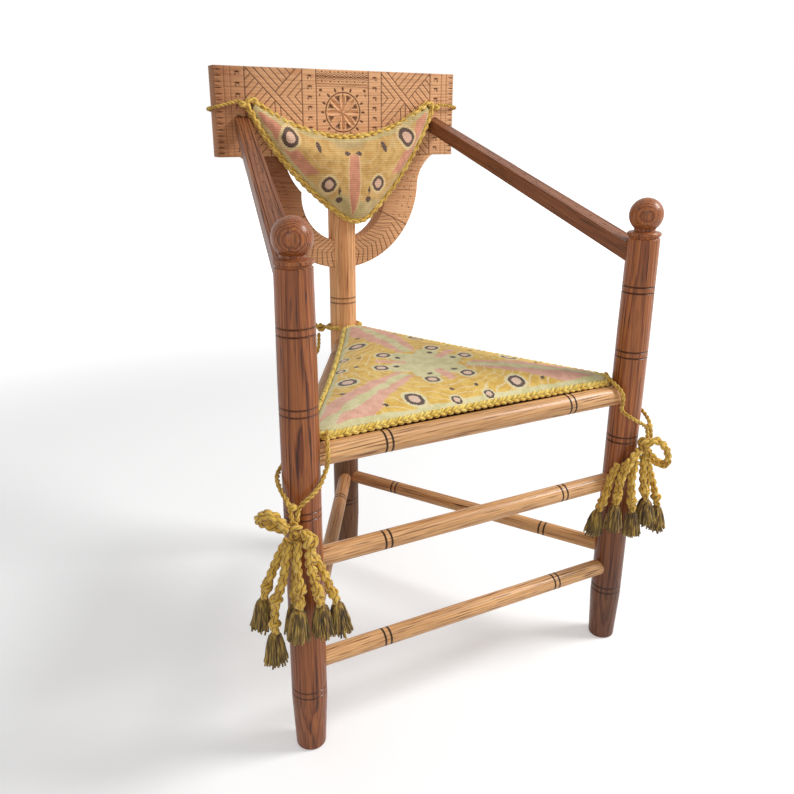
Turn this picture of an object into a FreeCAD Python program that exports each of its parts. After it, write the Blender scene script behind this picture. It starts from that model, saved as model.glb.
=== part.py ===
import FreeCAD, Part
import math
import os

# A three-post corner chair in oak with two loose cushions and their wool ties.
# Millimetres. X runs along the front rail, +Y from the front posts to the rear post, +Z up.
# The origin is on the floor, midway between the front posts' line and the rear post.

V = FreeCAD.Vector
Z_AXIS = V(0, 0, 1)

# The posts' places.
post_spacing = 500.0
rear_depth = 429.0
total_height = 846.5

# The turned posts.
post_radius = 22.5
post_top_radius = 21.5
foot_radius = 19.0
foot_round = 3.0
foot_taper_top = 75.0
post_shoulder = 625.0
post_taper_start = 500.0
ball_radius = 22.5
ball_centre = 656.0
neck_radius = 14.0
collar_radius = 22.4
collar_bottom = 628.0
collar_top = 634.0
collar_edge = 1.5
under_collar_radius = 20.0
front_ring_heights = [88.3, 339.7, 466.8, 557.6]
rear_ring_heights = [105.6, 484.8]
ring_gap = 8.4
ring_width = 2.0
ring_depth = 1.1

# The turned rails and stretchers, with the height of each axis.
seat_rail_height = 406.0
seat_rail_radius = 14.0
seat_tenon_radius = 9.0
upper_height = 271.2
upper_radius = 12.5
upper_tenon_radius = 8.0
lower_height = 124.9
lower_radius = 12.0
lower_tenon_radius = 8.0
side_height = 154.4
side_radius = 11.0
side_tenon_radius = 7.0
rail_ring_inset = 109.0
tenon_past_axis = 7.0
tenon_overlap = 45.0
joint_gap = 0.1
mitre_gap = 0.3
tongue_room_half = 0.5

# The triangular seat board, let into grooves in the three seat rails.
board_thickness = 12.0
board_inset = 6.0
board_post_gap = 1.5

# The back: a crest board over a horseshoe yoke made of two halves. The yoke's circles are
# centred so far below the crest board's lower edge (drop) or above it (rise).
back_thickness = 25.0
crest_half_width = 203.3
crest_height = 127.0
crest_edge = 1.2
yoke_outer_radius = 137.0
yoke_outer_drop = 42.5
yoke_inner_radius = 74.0
yoke_inner_drop = 61.5
lobe_radius = 103.0
lobe_rise = 17.5
flare_radius = 60.0
flare_half_width = 165.0
post_tenon_radius = 8.0
post_tenon_length = 40.0
post_top_edge = 2.0
horn_dowel_radius = 4.0
horn_dowel_half = 18.0
horn_dowel_places = [118.0, 147.0]

# The arms: tapered square bars from the front posts up to the crest board's face, where
# they arrive so far above its lower edge.
arm_post_height = 600.9
arm_crest_rise = 47.6
arm_crest_x = 164.7
arm_width_post = 31.0
arm_width_crest = 21.0
arm_depth_post = 23.0
arm_depth_crest = 19.0
arm_tenon_radius = 8.0
arm_tenon_past_axis = 2.0
arm_line_inset = 4.6
arm_line_width = 1.6
arm_line_depth = 1.1
arm_notch_count = 14
arm_notch_first = 44.0
arm_notch_last = 400.0
arm_notch_length = 8.0
arm_notch_width = 5.0
arm_notch_depth = 1.8
cutter_lift = 0.5
arm_dowel_radius = 4.0
arm_dowel_in_arm = 16.0
arm_dowel_in_crest = 14.0

# The seat cushion and its twisted wool piping.
piping_diameter = 9.0
piping_gap = 0.4
knot_gap = 0.3
piping_from_axis = 5.0
pad_corner_radius = 18.5
pad_side_bow = 4000.0
pad_piping_rise = 18.6
pad_tilt = 2.1
pad_levels = [(-11.9, 0.80, 0.0), (-6.4, 0.975, 0.3), (0.0, 1.0, 1.0), (5.5, 0.975, 1.0),
              (9.5, 0.90, 1.0), (12.5, 0.70, 1.0), (14.0, 0.38, 1.0)]

# The back cushion, a puffed triangle with a hollow top edge, hung on the crest board. Its
# corners and its tip lie so far below the crest board's top.
back_piping_diameter = 11.0
back_corner_x = 151.0
back_corner_drop = 53.0
back_corner_radius = 7.0
back_tip_x = 12.0
back_tip_drop = 190.5
back_tip_radius = 38.0
back_top_bow = 236.0
back_side_bow = 460.0
back_cushion_gap = 0.6
back_tilt = 4.4
back_levels = [(-2.0, 0.99), (0.0, 1.0), (8.0, 0.985), (17.0, 0.90), (24.0, 0.70), (27.0, 0.36)]

# The wool cords, each a list of points that its route turns at.
tie_diameter = 6.0
plait_diameter = 11.0
rear_tie_diameter = 8.0
back_tie_diameter = 5.0
tassel_height = 42.0
tassel_top_radius = 4.0
tassel_weight = 2.0
tassel_neck_drop = 3.0
tassel_swell = [(0.62, 0.35), (0.90, 0.72), (1.0, 1.0)]
tassel_bottom_radius = 11.0
right_tassel_height = 40.0
right_tassel_radius = 10.0

front_y = -rear_depth / 2
rear_y = rear_depth / 2
back_front_y = rear_y - back_thickness / 2
crest_bottom = total_height - crest_height
yoke_outer_centre = crest_bottom - yoke_outer_drop
yoke_inner_centre = crest_bottom - yoke_inner_drop
lobe_centre = crest_bottom + lobe_rise
arm_crest_height = crest_bottom + arm_crest_rise
back_corner_z = total_height - back_corner_drop
back_tip_z = total_height - back_tip_drop
pad_piping_height = seat_rail_height + pad_piping_rise
LEFT = V(-post_spacing / 2, front_y, 0)
RIGHT = V(post_spacing / 2, front_y, 0)
REAR = V(0, rear_y, 0)

tie_front = [(-269, -245, 343), (-268, -245, 351), (-266, -244, 360), (-254, -245, 368), (-237, -240, 378),
             (-227, -229, 387), (-225, -234, 400), (-224, -234, 414), (-220, -223, 424), (-215, -212, 432)]
tie_back = [(-235, -184, 428), (-244, -179, 423), (-249, -177, 412), (-251, -180, 399), (-262, -187, 389),
            (-277, -203, 384), (-279, -223, 375), (-276, -239, 366), (-275, -244, 355), (-275, -246, 344)]
left_bow = [(-282, -246, 336), (-288, -250, 348), (-296, -247, 358), (-304, -237, 358), (-307, -225, 348),
            (-301, -215, 336), (-290, -213, 328), (-280, -221, 326), (-277, -233, 330)]
left_plaits = {
    "1": [(-278, -237, 317), (-284, -233, 305), (-291, -231, 290), (-297, -229, 274), (-303, -226, 258),
          (-306, -224, 243)],
    "2": [(-281, -251, 320), (-287, -252, 305), (-289, -253, 288), (-292, -250, 270), (-298, -246, 253),
          (-300, -244, 236), (-301, -243, 219), (-301, -243, 205)],
    "3": [(-270, -245, 316), (-272, -243, 300), (-273, -242, 284), (-273, -242, 267), (-274, -241, 250),
          (-274, -241, 235)],
    "4": [(-273, -259, 324), (-277, -262, 309), (-277, -262, 292), (-275, -263, 274), (-275, -263, 258),
          (-277, -262, 242)],
    "5": [(-264, -256, 335), (-262, -265, 329), (-262, -267, 317), (-263, -265, 304), (-261, -264, 289),
          (-257, -266, 273), (-255, -268, 257), (-252, -268, 243)],
    "6": [(-261, -249, 321), (-257, -252, 309), (-251, -255, 295), (-245, -260, 281), (-241, -263, 266),
          (-236, -265, 252), (-232, -267, 240)],
}
right_bow = [(262, -250, 337), (269, -256, 344), (278, -261, 342), (287, -266, 331), (293, -267, 316),
             (298, -261, 302), (296, -248, 298), (290, -238, 306), (281, -236, 318), (272, -239, 326)]
right_plaits = {
    "1": [(252, -248, 328), (242, -251, 322), (231, -252, 313), (223, -250, 299), (221, -247, 281),
          (223, -246, 265), (221, -245, 249)],
    "2": [(248, -248, 312), (242, -251, 299), (239, -252, 285), (241, -253, 269), (243, -254, 252),
          (246, -254, 237)],
    "3": [(259, -250, 318), (261, -252, 303), (260, -253, 287), (262, -256, 270), (266, -259, 253)],
    "4": [(273, -245, 311), (277, -246, 298), (279, -245, 283), (280, -243, 266), (283, -241, 248),
          (284, -240, 242)],
    "5": [(225, -238, 307), (218, -235, 293), (214, -234, 278), (211, -234, 263), (207, -232, 248),
          (204, -229, 237)],
    "6": [(290, -232, 298), (293, -234, 284), (296, -239, 270), (297, -244, 256), (299, -248, 243),
          (300, -250, 231)],
}
# The knots that the ties, bows and plaits run into. Each knot is a group of merged balls,
# and each ball is a centre and a radius.
left_knot_balls = [[((-272, -243, 361), 5)],
                   [((-272, -248, 336), 9.5), ((-272, -248, 326), 9.5)]]
right_knot_balls = [[((272, -243, 361), 5)],
                    [((262, -247, 337), 10), ((262, -247, 328), 9.5), ((272, -248, 317), 6.5)],
                    [((232, -247, 309), 8)]]
rear_knot_balls = [[((-32, 239, 432), 9.4)]]
back_knot_balls = [[((-5, 230.5, 778), 3.2), ((0, 230.5, 781), 3.2), ((0, 230.5, 775), 3.2),
                    ((5, 230.5, 778), 3.2)]]
rear_tie = [(-17, 190, 440), (-26, 200, 439), (-30, 213, 437), (-24, 230, 436), (-8, 242, 436),
            (13, 241, 437), (27, 229, 438), (30, 214, 439), (26, 200, 440), (17, 190, 441)]
rear_bow = [(-36, 240, 432), (-43, 244, 441), (-55, 246, 442), (-64, 246, 433), (-67, 245, 418),
            (-65, 244, 402), (-61, 243, 387), (-50, 242, 381), (-39, 243, 385), (-35, 244, 397),
            (-34, 245, 410), (-34, 245, 420)]
back_tie_left = [(-168, 196, 799), (-182, 196, 796), (-200, 195, 791), (-210, 203, 789),
                 (-210, 225, 787), (-200, 234, 785), (-170, 231, 781), (-110, 230, 778),
                 (-52, 230, 777), (-8, 230, 778)]
back_tie_right = [(168, 196, 799), (182, 196, 798), (200, 195, 796), (210, 203, 794),
                  (210, 225, 792), (200, 234, 789), (170, 231, 785), (112, 230, 780),
                  (52, 230, 778), (8, 230, 778)]


def save(shape, name):
    shape.exportStep("parts/" + name + ".step")
    print(name, "solids", len(shape.Solids), "valid", shape.isValid(), "volume", round(shape.Volume))


def solid_of(face_or_wire, start, turn_axis):
    face = face_or_wire if isinstance(face_or_wire, Part.Face) else Part.Face(face_or_wire)
    return face.revolve(start, turn_axis, 360)


def line(a, b):
    return Part.LineSegment(a, b).toShape()


def arc(a, m, b):
    return Part.Arc(a, m, b).toShape()


def outline_wire(points):
    return Part.makePolygon(points + [points[0]])


def placed(shape, start, direction):
    turn = FreeCAD.Rotation(Z_AXIS, direction)
    shape.Placement = FreeCAD.Placement(start, turn).multiply(shape.Placement)
    return shape


def rings(radius, heights):
    # Two burnt-in rings at each height, as points of a turned outline.
    points = []
    for height in heights:
        for middle in (height - ring_gap / 2, height + ring_gap / 2):
            points.append((radius(middle - ring_width / 2), middle - ring_width / 2))
            points.append((radius(middle) - ring_depth, middle))
            points.append((radius(middle + ring_width / 2), middle + ring_width / 2))
    return points


def radius_at(height):
    if height < foot_taper_top:
        share = height / foot_taper_top
        return foot_radius + (post_radius - foot_radius) * share
    if height < post_taper_start:
        return post_radius
    share = (height - post_taper_start) / (post_shoulder - post_taper_start)
    return post_radius + (post_top_radius - post_radius) * min(share, 1.0)


def rear_radius_at(height):
    if height < foot_taper_top:
        return radius_at(height)
    return post_radius


def foot_edges():
    side = radius_at(foot_round)
    mid = foot_round * (1 - math.cos(math.radians(45)))
    bottom = V(side - foot_round, 0, 0)
    return [line(V(0, 0, 0), bottom), arc(bottom, V(side - mid, 0, mid), V(side, 0, foot_round))]


def turned_post(stations, top_edges):
    points = [V(r, 0, z) for r, z in stations]
    edges = foot_edges() + [line(a, b) for a, b in zip(points, points[1:])] + top_edges(points[-1])
    end = edges[-1].Vertexes[-1].Point
    edges.append(line(end, V(0, 0, 0)))
    return solid_of(Part.Wire(edges), V(0, 0, 0), Z_AXIS)


def ball_edges(start):
    ball_foot = ball_centre - math.sqrt(ball_radius ** 2 - neck_radius ** 2)
    points = [start,
              V(under_collar_radius, 0, post_shoulder + collar_edge),
              V(under_collar_radius, 0, collar_bottom),
              V(collar_radius, 0, collar_bottom + collar_edge),
              V(collar_radius, 0, collar_top - collar_edge),
              V(collar_radius - collar_edge, 0, collar_top),
              V(neck_radius, 0, collar_top + collar_edge),
              V(neck_radius, 0, ball_foot)]
    edges = [line(a, b) for a, b in zip(points, points[1:])]
    reach = ball_radius * math.cos(math.radians(30))
    middle = V(reach, 0, ball_centre + ball_radius / 2)
    edges.append(arc(points[-1], middle, V(0, 0, ball_centre + ball_radius)))
    return edges


def front_post(place):
    stations = [(radius_at(foot_round), foot_round)]
    marks = rings(radius_at, front_ring_heights)
    stations += [m for m in marks if m[1] > foot_round]
    stations += [(radius_at(foot_taper_top), foot_taper_top), (post_radius, post_taper_start)]
    stations.append((post_top_radius, post_shoulder))
    stations = sorted(set(stations), key=lambda s: s[1])
    post = turned_post(stations, ball_edges)
    post.translate(place)
    return post


def tenon_edges(start):
    points = [start,
              V(post_radius - post_top_edge, 0, crest_bottom - joint_gap),
              V(post_tenon_radius, 0, crest_bottom - joint_gap),
              V(post_tenon_radius, 0, crest_bottom + post_tenon_length),
              V(0, 0, crest_bottom + post_tenon_length)]
    return [line(a, b) for a, b in zip(points, points[1:])]


def rear_post_blank():
    stations = [(rear_radius_at(foot_round), foot_round)]
    stations += rings(rear_radius_at, rear_ring_heights)
    stations.append((post_radius, foot_taper_top))
    stations.append((post_radius, crest_bottom - joint_gap - post_top_edge))
    stations = sorted(set(stations), key=lambda s: s[1])
    post = turned_post(stations, tenon_edges)
    post.translate(REAR)
    return post


def direction_between(a, b):
    way = b - a
    way.z = 0
    return way.normalize()


def half_space(post, way, other_way, gap):
    # A block on the other rail's side of the mitre between two rails that meet in a post.
    size = 4 * post_radius
    across = (other_way - way).normalize()
    block = Part.makeBox(size, size, size, V(-size / 2, -size / 2, 0))
    placed(block, V(0, 0, 0), across)
    block.translate(post + across * (-gap / 2))
    return block


def tenon(post, way, height, radius, other_way=None):
    # The round tenon that points from a rail into its post, whole or mitred.
    past = 0 if other_way else tenon_past_axis
    start = post + V(0, 0, height) - way * past
    peg = Part.makeCylinder(radius, past + tenon_overlap, start, way)
    if other_way:
        block = half_space(post, way, other_way, mitre_gap)
        block.translate(V(0, 0, height))
        peg = peg.cut(block)
    return peg


def mortise(post, way, height, radius, other_way=None):
    past = joint_gap if other_way else tenon_past_axis + joint_gap
    start = post + V(0, 0, height) - way * past
    return Part.makeCylinder(radius + joint_gap, past + 2 * post_radius, start, way)


def rail_blank(a, b, height, radius):
    length = (b - a).Length
    places = [rail_ring_inset, length - rail_ring_inset]
    stations = [(radius, 0)] + rings(lambda z: radius, places) + [(radius, length)]
    points = [V(0, 0, 0)] + [V(r, 0, z) for r, z in stations] + [V(0, 0, length)]
    blank = solid_of(outline_wire(points), V(0, 0, 0), Z_AXIS)
    return placed(blank, a + V(0, 0, height), direction_between(a, b))


def rail(a, b, height, radius, tenon_radius, others=(None, None)):
    # A rail whose ends are hollowed to the posts, with a tenon into each.
    body = rail_blank(a, b, height, radius)
    for post in (a, b):
        reach = radius_at(height) + joint_gap
        body = body.cut(Part.makeCylinder(reach, 4 * radius, post + V(0, 0, height - 2 * radius)))
    way = direction_between(a, b)
    first = tenon(a, way, height, tenon_radius, others[0])
    second = tenon(b, way * -1, height, tenon_radius, others[1])
    return body.fuse([first, second]).removeSplitter()


def seat_corners(inset):
    # The corners of the triangle of post axes, drawn in by the inset on every side.
    corners = [LEFT, RIGHT, REAR]
    centre = (LEFT + RIGHT + REAR) * (1 / 3)
    moved = []
    for i, corner in enumerate(corners):
        to_next = direction_between(corner, corners[(i + 1) % 3])
        to_last = direction_between(corner, corners[(i + 2) % 3])
        half_turn = to_next.getAngle(to_last) / 2
        inward = (to_next + to_last).normalize()
        moved.append(corner + inward * (inset / math.sin(half_turn)))
    return moved, centre


def seat_board_solid(inset, thickness, post_gap):
    corners, _ = seat_corners(inset)
    low = seat_rail_height - thickness / 2
    base = [V(c.x, c.y, low) for c in corners]
    plate = Part.Face(outline_wire(base)).extrude(V(0, 0, thickness))
    for post in (LEFT, RIGHT, REAR):
        hole = Part.makeCylinder(post_radius + post_gap, 2 * thickness, post + V(0, 0, low - thickness / 2))
        plate = plate.cut(hole)
    return plate


def yoke_half(side, gap):
    # Half of the horseshoe, from its tongue in the rear post to the horn under the crest.
    outer = yoke_outer_radius + gap
    inner = yoke_inner_radius - gap
    top = crest_bottom - gap / 2
    depth = back_thickness + 2 * gap
    flare_x = flare_half_width + math.sqrt(flare_radius ** 2 - (crest_bottom - flare_height()) ** 2)
    to_flare = V(flare_x, 0, flare_height()) - V(0, 0, yoke_outer_centre)
    touch_angle = math.atan2(to_flare.z, to_flare.x)
    cusp = cusp_point()

    def on(radius, centre_z, angle):
        return V(radius * math.cos(angle), 0, centre_z + radius * math.sin(angle))

    inner_angle = math.atan2(cusp.z - yoke_inner_centre, cusp.x)
    lobe_start = math.atan2(cusp.z - lobe_centre, cusp.x)
    lobe_end = math.asin((top - lobe_centre) / lobe_radius)
    down = -math.pi / 2
    start = V(gap if gap else mitre_gap / 2, 0, 0)
    low = math.sqrt(outer ** 2 - start.x ** 2)
    high = math.sqrt(inner ** 2 - start.x ** 2)
    bottom = V(start.x, 0, yoke_outer_centre - low)
    crotch = V(start.x, 0, yoke_inner_centre - high)
    touch = on(outer, yoke_outer_centre, touch_angle)
    tip = V(flare_half_width, 0, top)
    flare_mid = flare_arc_point(flare_x, touch, tip)
    cusp_low = on(inner, yoke_inner_centre, inner_angle)
    cusp_high = on(lobe_radius, lobe_centre, lobe_start)
    horn = on(lobe_radius, lobe_centre, lobe_end)
    edges = [arc(bottom, on(outer, yoke_outer_centre, (down + touch_angle) / 2), touch),
             arc(touch, flare_mid, tip),
             line(tip, horn),
             arc(horn, on(lobe_radius, lobe_centre, (lobe_start + lobe_end) / 2), cusp_high)]
    if (cusp_high - cusp_low).Length > 0.001:
        edges.append(line(cusp_high, cusp_low))
    edges.append(arc(cusp_low, on(inner, yoke_inner_centre, (down + inner_angle) / 2), crotch))
    edges.append(line(crotch, bottom))
    plate = Part.Face(Part.Wire(edges)).extrude(V(0, depth, 0))
    plate.translate(V(0, rear_y - depth / 2, 0))
    if side < 0:
        plate = plate.mirror(V(0, 0, 0), V(1, 0, 0))
    return plate


def flare_height():
    # The height at which the flare's circle touches the yoke's outer circle.
    low, high = yoke_outer_centre - flare_radius, crest_bottom
    for _ in range(60):
        middle = (low + high) / 2
        rise = crest_bottom - middle
        across = flare_half_width + math.sqrt(max(flare_radius ** 2 - rise ** 2, 0))
        distance = math.hypot(across, middle - yoke_outer_centre)
        if distance < yoke_outer_radius + flare_radius:
            low = middle
        else:
            high = middle
    return (low + high) / 2


def flare_arc_point(flare_x, a, b):
    centre = V(flare_x, 0, flare_height())
    half = ((a - centre).normalize() + (b - centre).normalize()).normalize()
    return centre + half * flare_radius


def cusp_point():
    # Where the lower circle of the opening meets the wide lobe above it.
    gap = lobe_centre - yoke_inner_centre
    along = (yoke_inner_radius ** 2 - lobe_radius ** 2 + gap ** 2) / (2 * gap)
    return V(math.sqrt(yoke_inner_radius ** 2 - along ** 2), 0, yoke_inner_centre + along)


def yoke_dowel(x, side, gap):
    base = V(side * x, rear_y, crest_bottom - horn_dowel_half - gap)
    return Part.makeCylinder(horn_dowel_radius + gap, 2 * (horn_dowel_half + gap), base)


def crest_blank():
    size = V(2 * crest_half_width, back_thickness, crest_height)
    blank = Part.makeBox(size.x, size.y, size.z, V(-crest_half_width, back_front_y, crest_bottom))
    return blank.makeChamfer(crest_edge, blank.Edges)


def arm_ends(side):
    # The arm's axis, from the front post's axis to the crest board's face.
    low = V(side * post_spacing / 2, front_y, arm_post_height)
    high = V(side * arm_crest_x, back_front_y, arm_crest_height)
    return low, high


def arm_section(centre, way, width, depth):
    across = way.cross(Z_AXIS).normalize()
    up = across.cross(way).normalize()
    a, b = across * (width / 2), up * (depth / 2)
    return outline_wire([centre - a - b, centre + a - b, centre + a + b, centre - a + b])


def arm_bar(side):
    low, high = arm_ends(side)
    way = (high - low).normalize()
    spare = arm_width_post
    length = (high - low).Length
    grow = (arm_width_crest - arm_width_post) / length
    rise = (arm_depth_crest - arm_depth_post) / length
    first = arm_section(low, way, arm_width_post, arm_depth_post)
    last = arm_section(high + way * spare, way, arm_width_crest + grow * spare, arm_depth_crest + rise * spare)
    bar = Part.makeLoft([first, last], True, True)
    return bar, low, high, way


def arm_cut_lines(side):
    # The two scored lines and the row of wedge notches along the arm's top face.
    low, high = arm_ends(side)
    way = (high - low).normalize()
    length = (high - low).Length
    across = way.cross(Z_AXIS).normalize()
    up = across.cross(way).normalize()
    cutters = []

    def top_at(distance, share):
        along = distance / length
        width = arm_width_post + (arm_width_crest - arm_width_post) * along
        depth = arm_depth_post + (arm_depth_crest - arm_depth_post) * along
        return low + way * distance + up * (depth / 2) + across * ((width / 2 - arm_line_inset) * share)

    for share in (-1, 1):
        wires = []
        for distance in (0, length):
            top = top_at(distance, share)
            half, lift = across * (arm_line_width / 2), up * cutter_lift
            wires.append(outline_wire([top - half + lift, top - up * arm_line_depth, top + half + lift]))
        cutters.append(Part.makeLoft(wires, True, True))
    step = (arm_notch_last - arm_notch_first) / (arm_notch_count - 1)
    for i in range(arm_notch_count):
        place = top_at(arm_notch_first + i * step, 0)
        half = across * (arm_notch_width / 2)
        lift, deep = up * cutter_lift, up * arm_notch_depth
        ahead = way * arm_notch_length
        corners = [place - half + lift, place + half + lift, place + ahead + lift, place - deep]
        cutters.append(pyramid(corners))
    return Part.makeCompound(cutters)


def pyramid(corners):
    a, b, c, d = corners
    faces = [Part.Face(outline_wire(list(three))) for three in ((a, b, c), (a, b, d), (b, c, d), (c, a, d))]
    return Part.makeSolid(Part.makeShell(faces))


def arm(side):
    bar, low, high, way = arm_bar(side)
    reach = radius_at(arm_post_height) + joint_gap
    post_room = Part.makeCylinder(reach, total_height, V(low.x, low.y, 0))
    crest_room = Part.makeBox(post_spacing, 4 * back_thickness, total_height,
                              V(-post_spacing / 2, back_front_y, 0))
    bar = bar.cut(post_room).cut(crest_room)
    bar = bar.cut(arm_cut_lines(side))
    peg = Part.makeCylinder(arm_tenon_radius, arm_tenon_past_axis + 2 * post_radius,
                            low - way * arm_tenon_past_axis, way)
    return bar.fuse(peg).cut(arm_dowel(side, joint_gap)).removeSplitter()


def arm_mortise(side):
    low, high = arm_ends(side)
    way = (high - low).normalize()
    past = arm_tenon_past_axis + joint_gap
    return Part.makeCylinder(arm_tenon_radius + joint_gap, past + 2 * post_radius, low - way * past, way)


def arm_dowel(side, gap):
    start = V(side * arm_crest_x, back_front_y - arm_dowel_in_arm - gap, arm_crest_height)
    length = arm_dowel_in_arm + arm_dowel_in_crest + 2 * gap
    return Part.makeCylinder(arm_dowel_radius + gap, length, start, V(0, 1, 0))


def circle_meet(a, ra, b, rb, side):
    # One of the two points at ra from a and rb from b, in the XY plane.
    gap = b - a
    along = (ra ** 2 - rb ** 2 + gap.Length ** 2) / (2 * gap.Length)
    off = math.sqrt(ra ** 2 - along ** 2)
    way = V(gap).normalize()
    across = V(-way.y, way.x, 0) * side
    return a + way * along + across * off


def soft_outline(corners, bows, offset, scale, middle):
    # Corner arcs joined by long tangent arcs. A bow over 0 draws a side in, under 0 swells it.
    edges = []
    joins = []
    count = len(corners)
    for i in range(count):
        (a, ra), (b, rb) = corners[i], corners[(i + 1) % count]
        ra, rb, bow = ra - offset, rb - offset, bows[i]
        if bow > 0:
            big = bow + offset
            centre = circle_meet(a, big + ra, b, big + rb, -1)
            first = a + (centre - a).normalize() * ra
            last = b + (centre - b).normalize() * rb
            sign = -1
        else:
            big = -bow - offset
            centre = circle_meet(a, big - ra, b, big - rb, 1)
            first = a + (a - centre).normalize() * ra
            last = b + (b - centre).normalize() * rb
            sign = 1
        mid_way = ((first - centre).normalize() + (last - centre).normalize()).normalize()
        joins.append((first, centre + mid_way * big, last))
    for i in range(count):
        first, mid, last = joins[i]
        edges.append(arc(first, mid, last))
        corner, radius = corners[(i + 1) % count]
        after = joins[(i + 1) % count][0]
        half = ((last - corner).normalize() + (after - corner).normalize()).normalize()
        edges.append(arc(last, corner + half * (radius - offset), after))
    wire = Part.Wire(edges)
    if scale != 1:
        grow = FreeCAD.Matrix()
        grow.scale(V(scale, scale, 1))
        wire.translate(middle * -1)
        wire.transformShape(grow)
        wire.translate(middle)
    return wire


def ring_tube(wire, diameter):
    start = wire.Edges[0]
    point = start.valueAt(start.FirstParameter)
    way = start.tangentAt(start.FirstParameter)
    circle = Part.Wire(Part.Circle(point, way, diameter / 2).toShape())
    tube = Part.Wire(wire.Edges).makePipeShell([circle], True, False)
    return tube


def pad_outline(offset, scale):
    corners, centre = seat_corners(piping_from_axis + pad_corner_radius)
    flat = [(V(c.x, c.y, 0), pad_corner_radius) for c in corners]
    return soft_outline(flat, [pad_side_bow] * 3, offset, scale, V(centre.x, centre.y, 0))


def tilted(wire, height, share):
    wire.translate(V(0, 0, height))
    wire.rotate(V(0, front_y + piping_from_axis, height), V(1, 0, 0), pad_tilt * share)
    return wire


def seat_pad():
    inset = piping_diameter / 2 + piping_gap
    wires = [tilted(pad_outline(inset, scale), pad_piping_height + rise, share)
             for rise, scale, share in pad_levels]
    return Part.makeLoft(wires, True, True)


def seat_piping():
    return ring_tube(tilted(pad_outline(0, 1), pad_piping_height, 1), piping_diameter)


def back_outline(offset, scale):
    # Drawn in X and Z as X and Y, and stood up afterwards.
    corners = [(V(-back_corner_x, back_corner_z, 0), back_corner_radius),
               (V(back_tip_x, back_tip_z, 0), back_tip_radius),
               (V(back_corner_x, back_corner_z, 0), back_corner_radius)]
    middle = V(back_tip_x / 3, (2 * back_corner_z + back_tip_z) / 3, 0)
    return soft_outline(corners, [-back_side_bow, -back_side_bow, back_top_bow], offset, scale, middle)


def stood_up(wire, forward):
    wire.rotate(V(0, 0, 0), V(1, 0, 0), 90)
    plane_y = back_front_y - back_piping_diameter / 2 - back_cushion_gap
    wire.translate(V(0, plane_y - forward, 0))
    wire.rotate(V(0, plane_y, back_corner_z), V(1, 0, 0), -back_tilt)
    return wire


def back_pad():
    inset = back_piping_diameter / 2 + piping_gap
    wires = [stood_up(back_outline(inset, scale), forward) for forward, scale in back_levels]
    return Part.makeLoft(wires, True, True)


def back_piping():
    return ring_tube(stood_up(back_outline(0, 1), 0), back_piping_diameter)


def mirrored(points):
    return [(-x, y, z) for x, y, z in points]


def cord_shape(points, diameter):
    # Straight runs joined by tangent arcs, each arc as large as its two runs allow.
    corners = [V(*p) for p in points]
    edges = []
    at = corners[0]
    radii = []
    for before, corner, after in zip(corners, corners[1:], corners[2:]):
        back, ahead = before - corner, after - corner
        turn = math.pi - back.getAngle(ahead)
        cut = 0.45 * min(back.Length, ahead.Length)
        radii.append(cut / math.tan(turn / 2))
        first = corner + back.normalize() * cut
        last = corner + ahead.normalize() * cut
        centre_way = (first + last) * 0.5 - corner
        to_centre = radii[-1] / math.cos(turn / 2)
        middle = corner + centre_way.normalize() * (to_centre - radii[-1])
        edges.append(line(at, first))
        edges.append(arc(first, middle, last))
        at = last
    edges.append(line(at, corners[-1]))
    path = Part.Wire(edges)
    circle = Part.Wire(Part.Circle(corners[0], corners[1] - corners[0], diameter / 2).toShape())
    return path.makePipeShell([circle], True, False), path.Length, min(radii)


def cord_tube(name, points, diameter):
    tube, length, least_radius = cord_shape(points, diameter)
    full = math.pi * diameter ** 2 / 4 * length
    print(name, "length", round(length, 1), "least radius", round(least_radius, 1),
          "volume share", round(tube.Volume / full, 4))
    return tube


def tassel(end, before, height, radius):
    # A bell of yarn under the end of a plait.
    neck = tassel_top_radius
    points = [V(0, 0, 0), V(neck, 0, 0), V(neck, 0, -tassel_neck_drop)]
    points += [V(radius * wide, 0, -height * down) for wide, down in tassel_swell]
    points.append(V(0, 0, -height))
    bell = solid_of(outline_wire(points), V(0, 0, 0), Z_AXIS)
    drop = (V(*end) - V(*before)).normalize()
    lean = (drop + V(0, 0, -tassel_weight)).normalize()
    base = V(*end) + drop * (knot_gap + neck * math.sin(drop.getAngle(lean)))
    turn = FreeCAD.Rotation(V(0, 0, -1), lean)
    bell.Placement = FreeCAD.Placement(base, turn)
    return bell


def reached(points, extra):
    # The same route with both ends that much longer.
    ends = [V(*p) for p in (points[0], points[1], points[-2], points[-1])]
    first = ends[0] + (ends[0] - ends[1]).normalize() * extra
    last = ends[3] + (ends[3] - ends[2]).normalize() * extra
    return [tuple(first)] + points[1:-1] + [tuple(last)]


def knots(groups, cords):
    # Balls of knotted cord, hollowed where the cords run into them.
    made = []
    for balls in groups:
        spheres = [Part.makeSphere(radius, V(*centre)) for centre, radius in balls]
        knot = spheres[0].fuse(spheres[1:]) if len(spheres) > 1 else spheres[0]
        for points, width in cords:
            knot = knot.cut(cord_shape(reached(points, knot_gap), width + 2 * knot_gap)[0])
        made.append(max(knot.Solids, key=lambda solid: solid.Volume))
    return Part.makeCompound(made)


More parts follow.
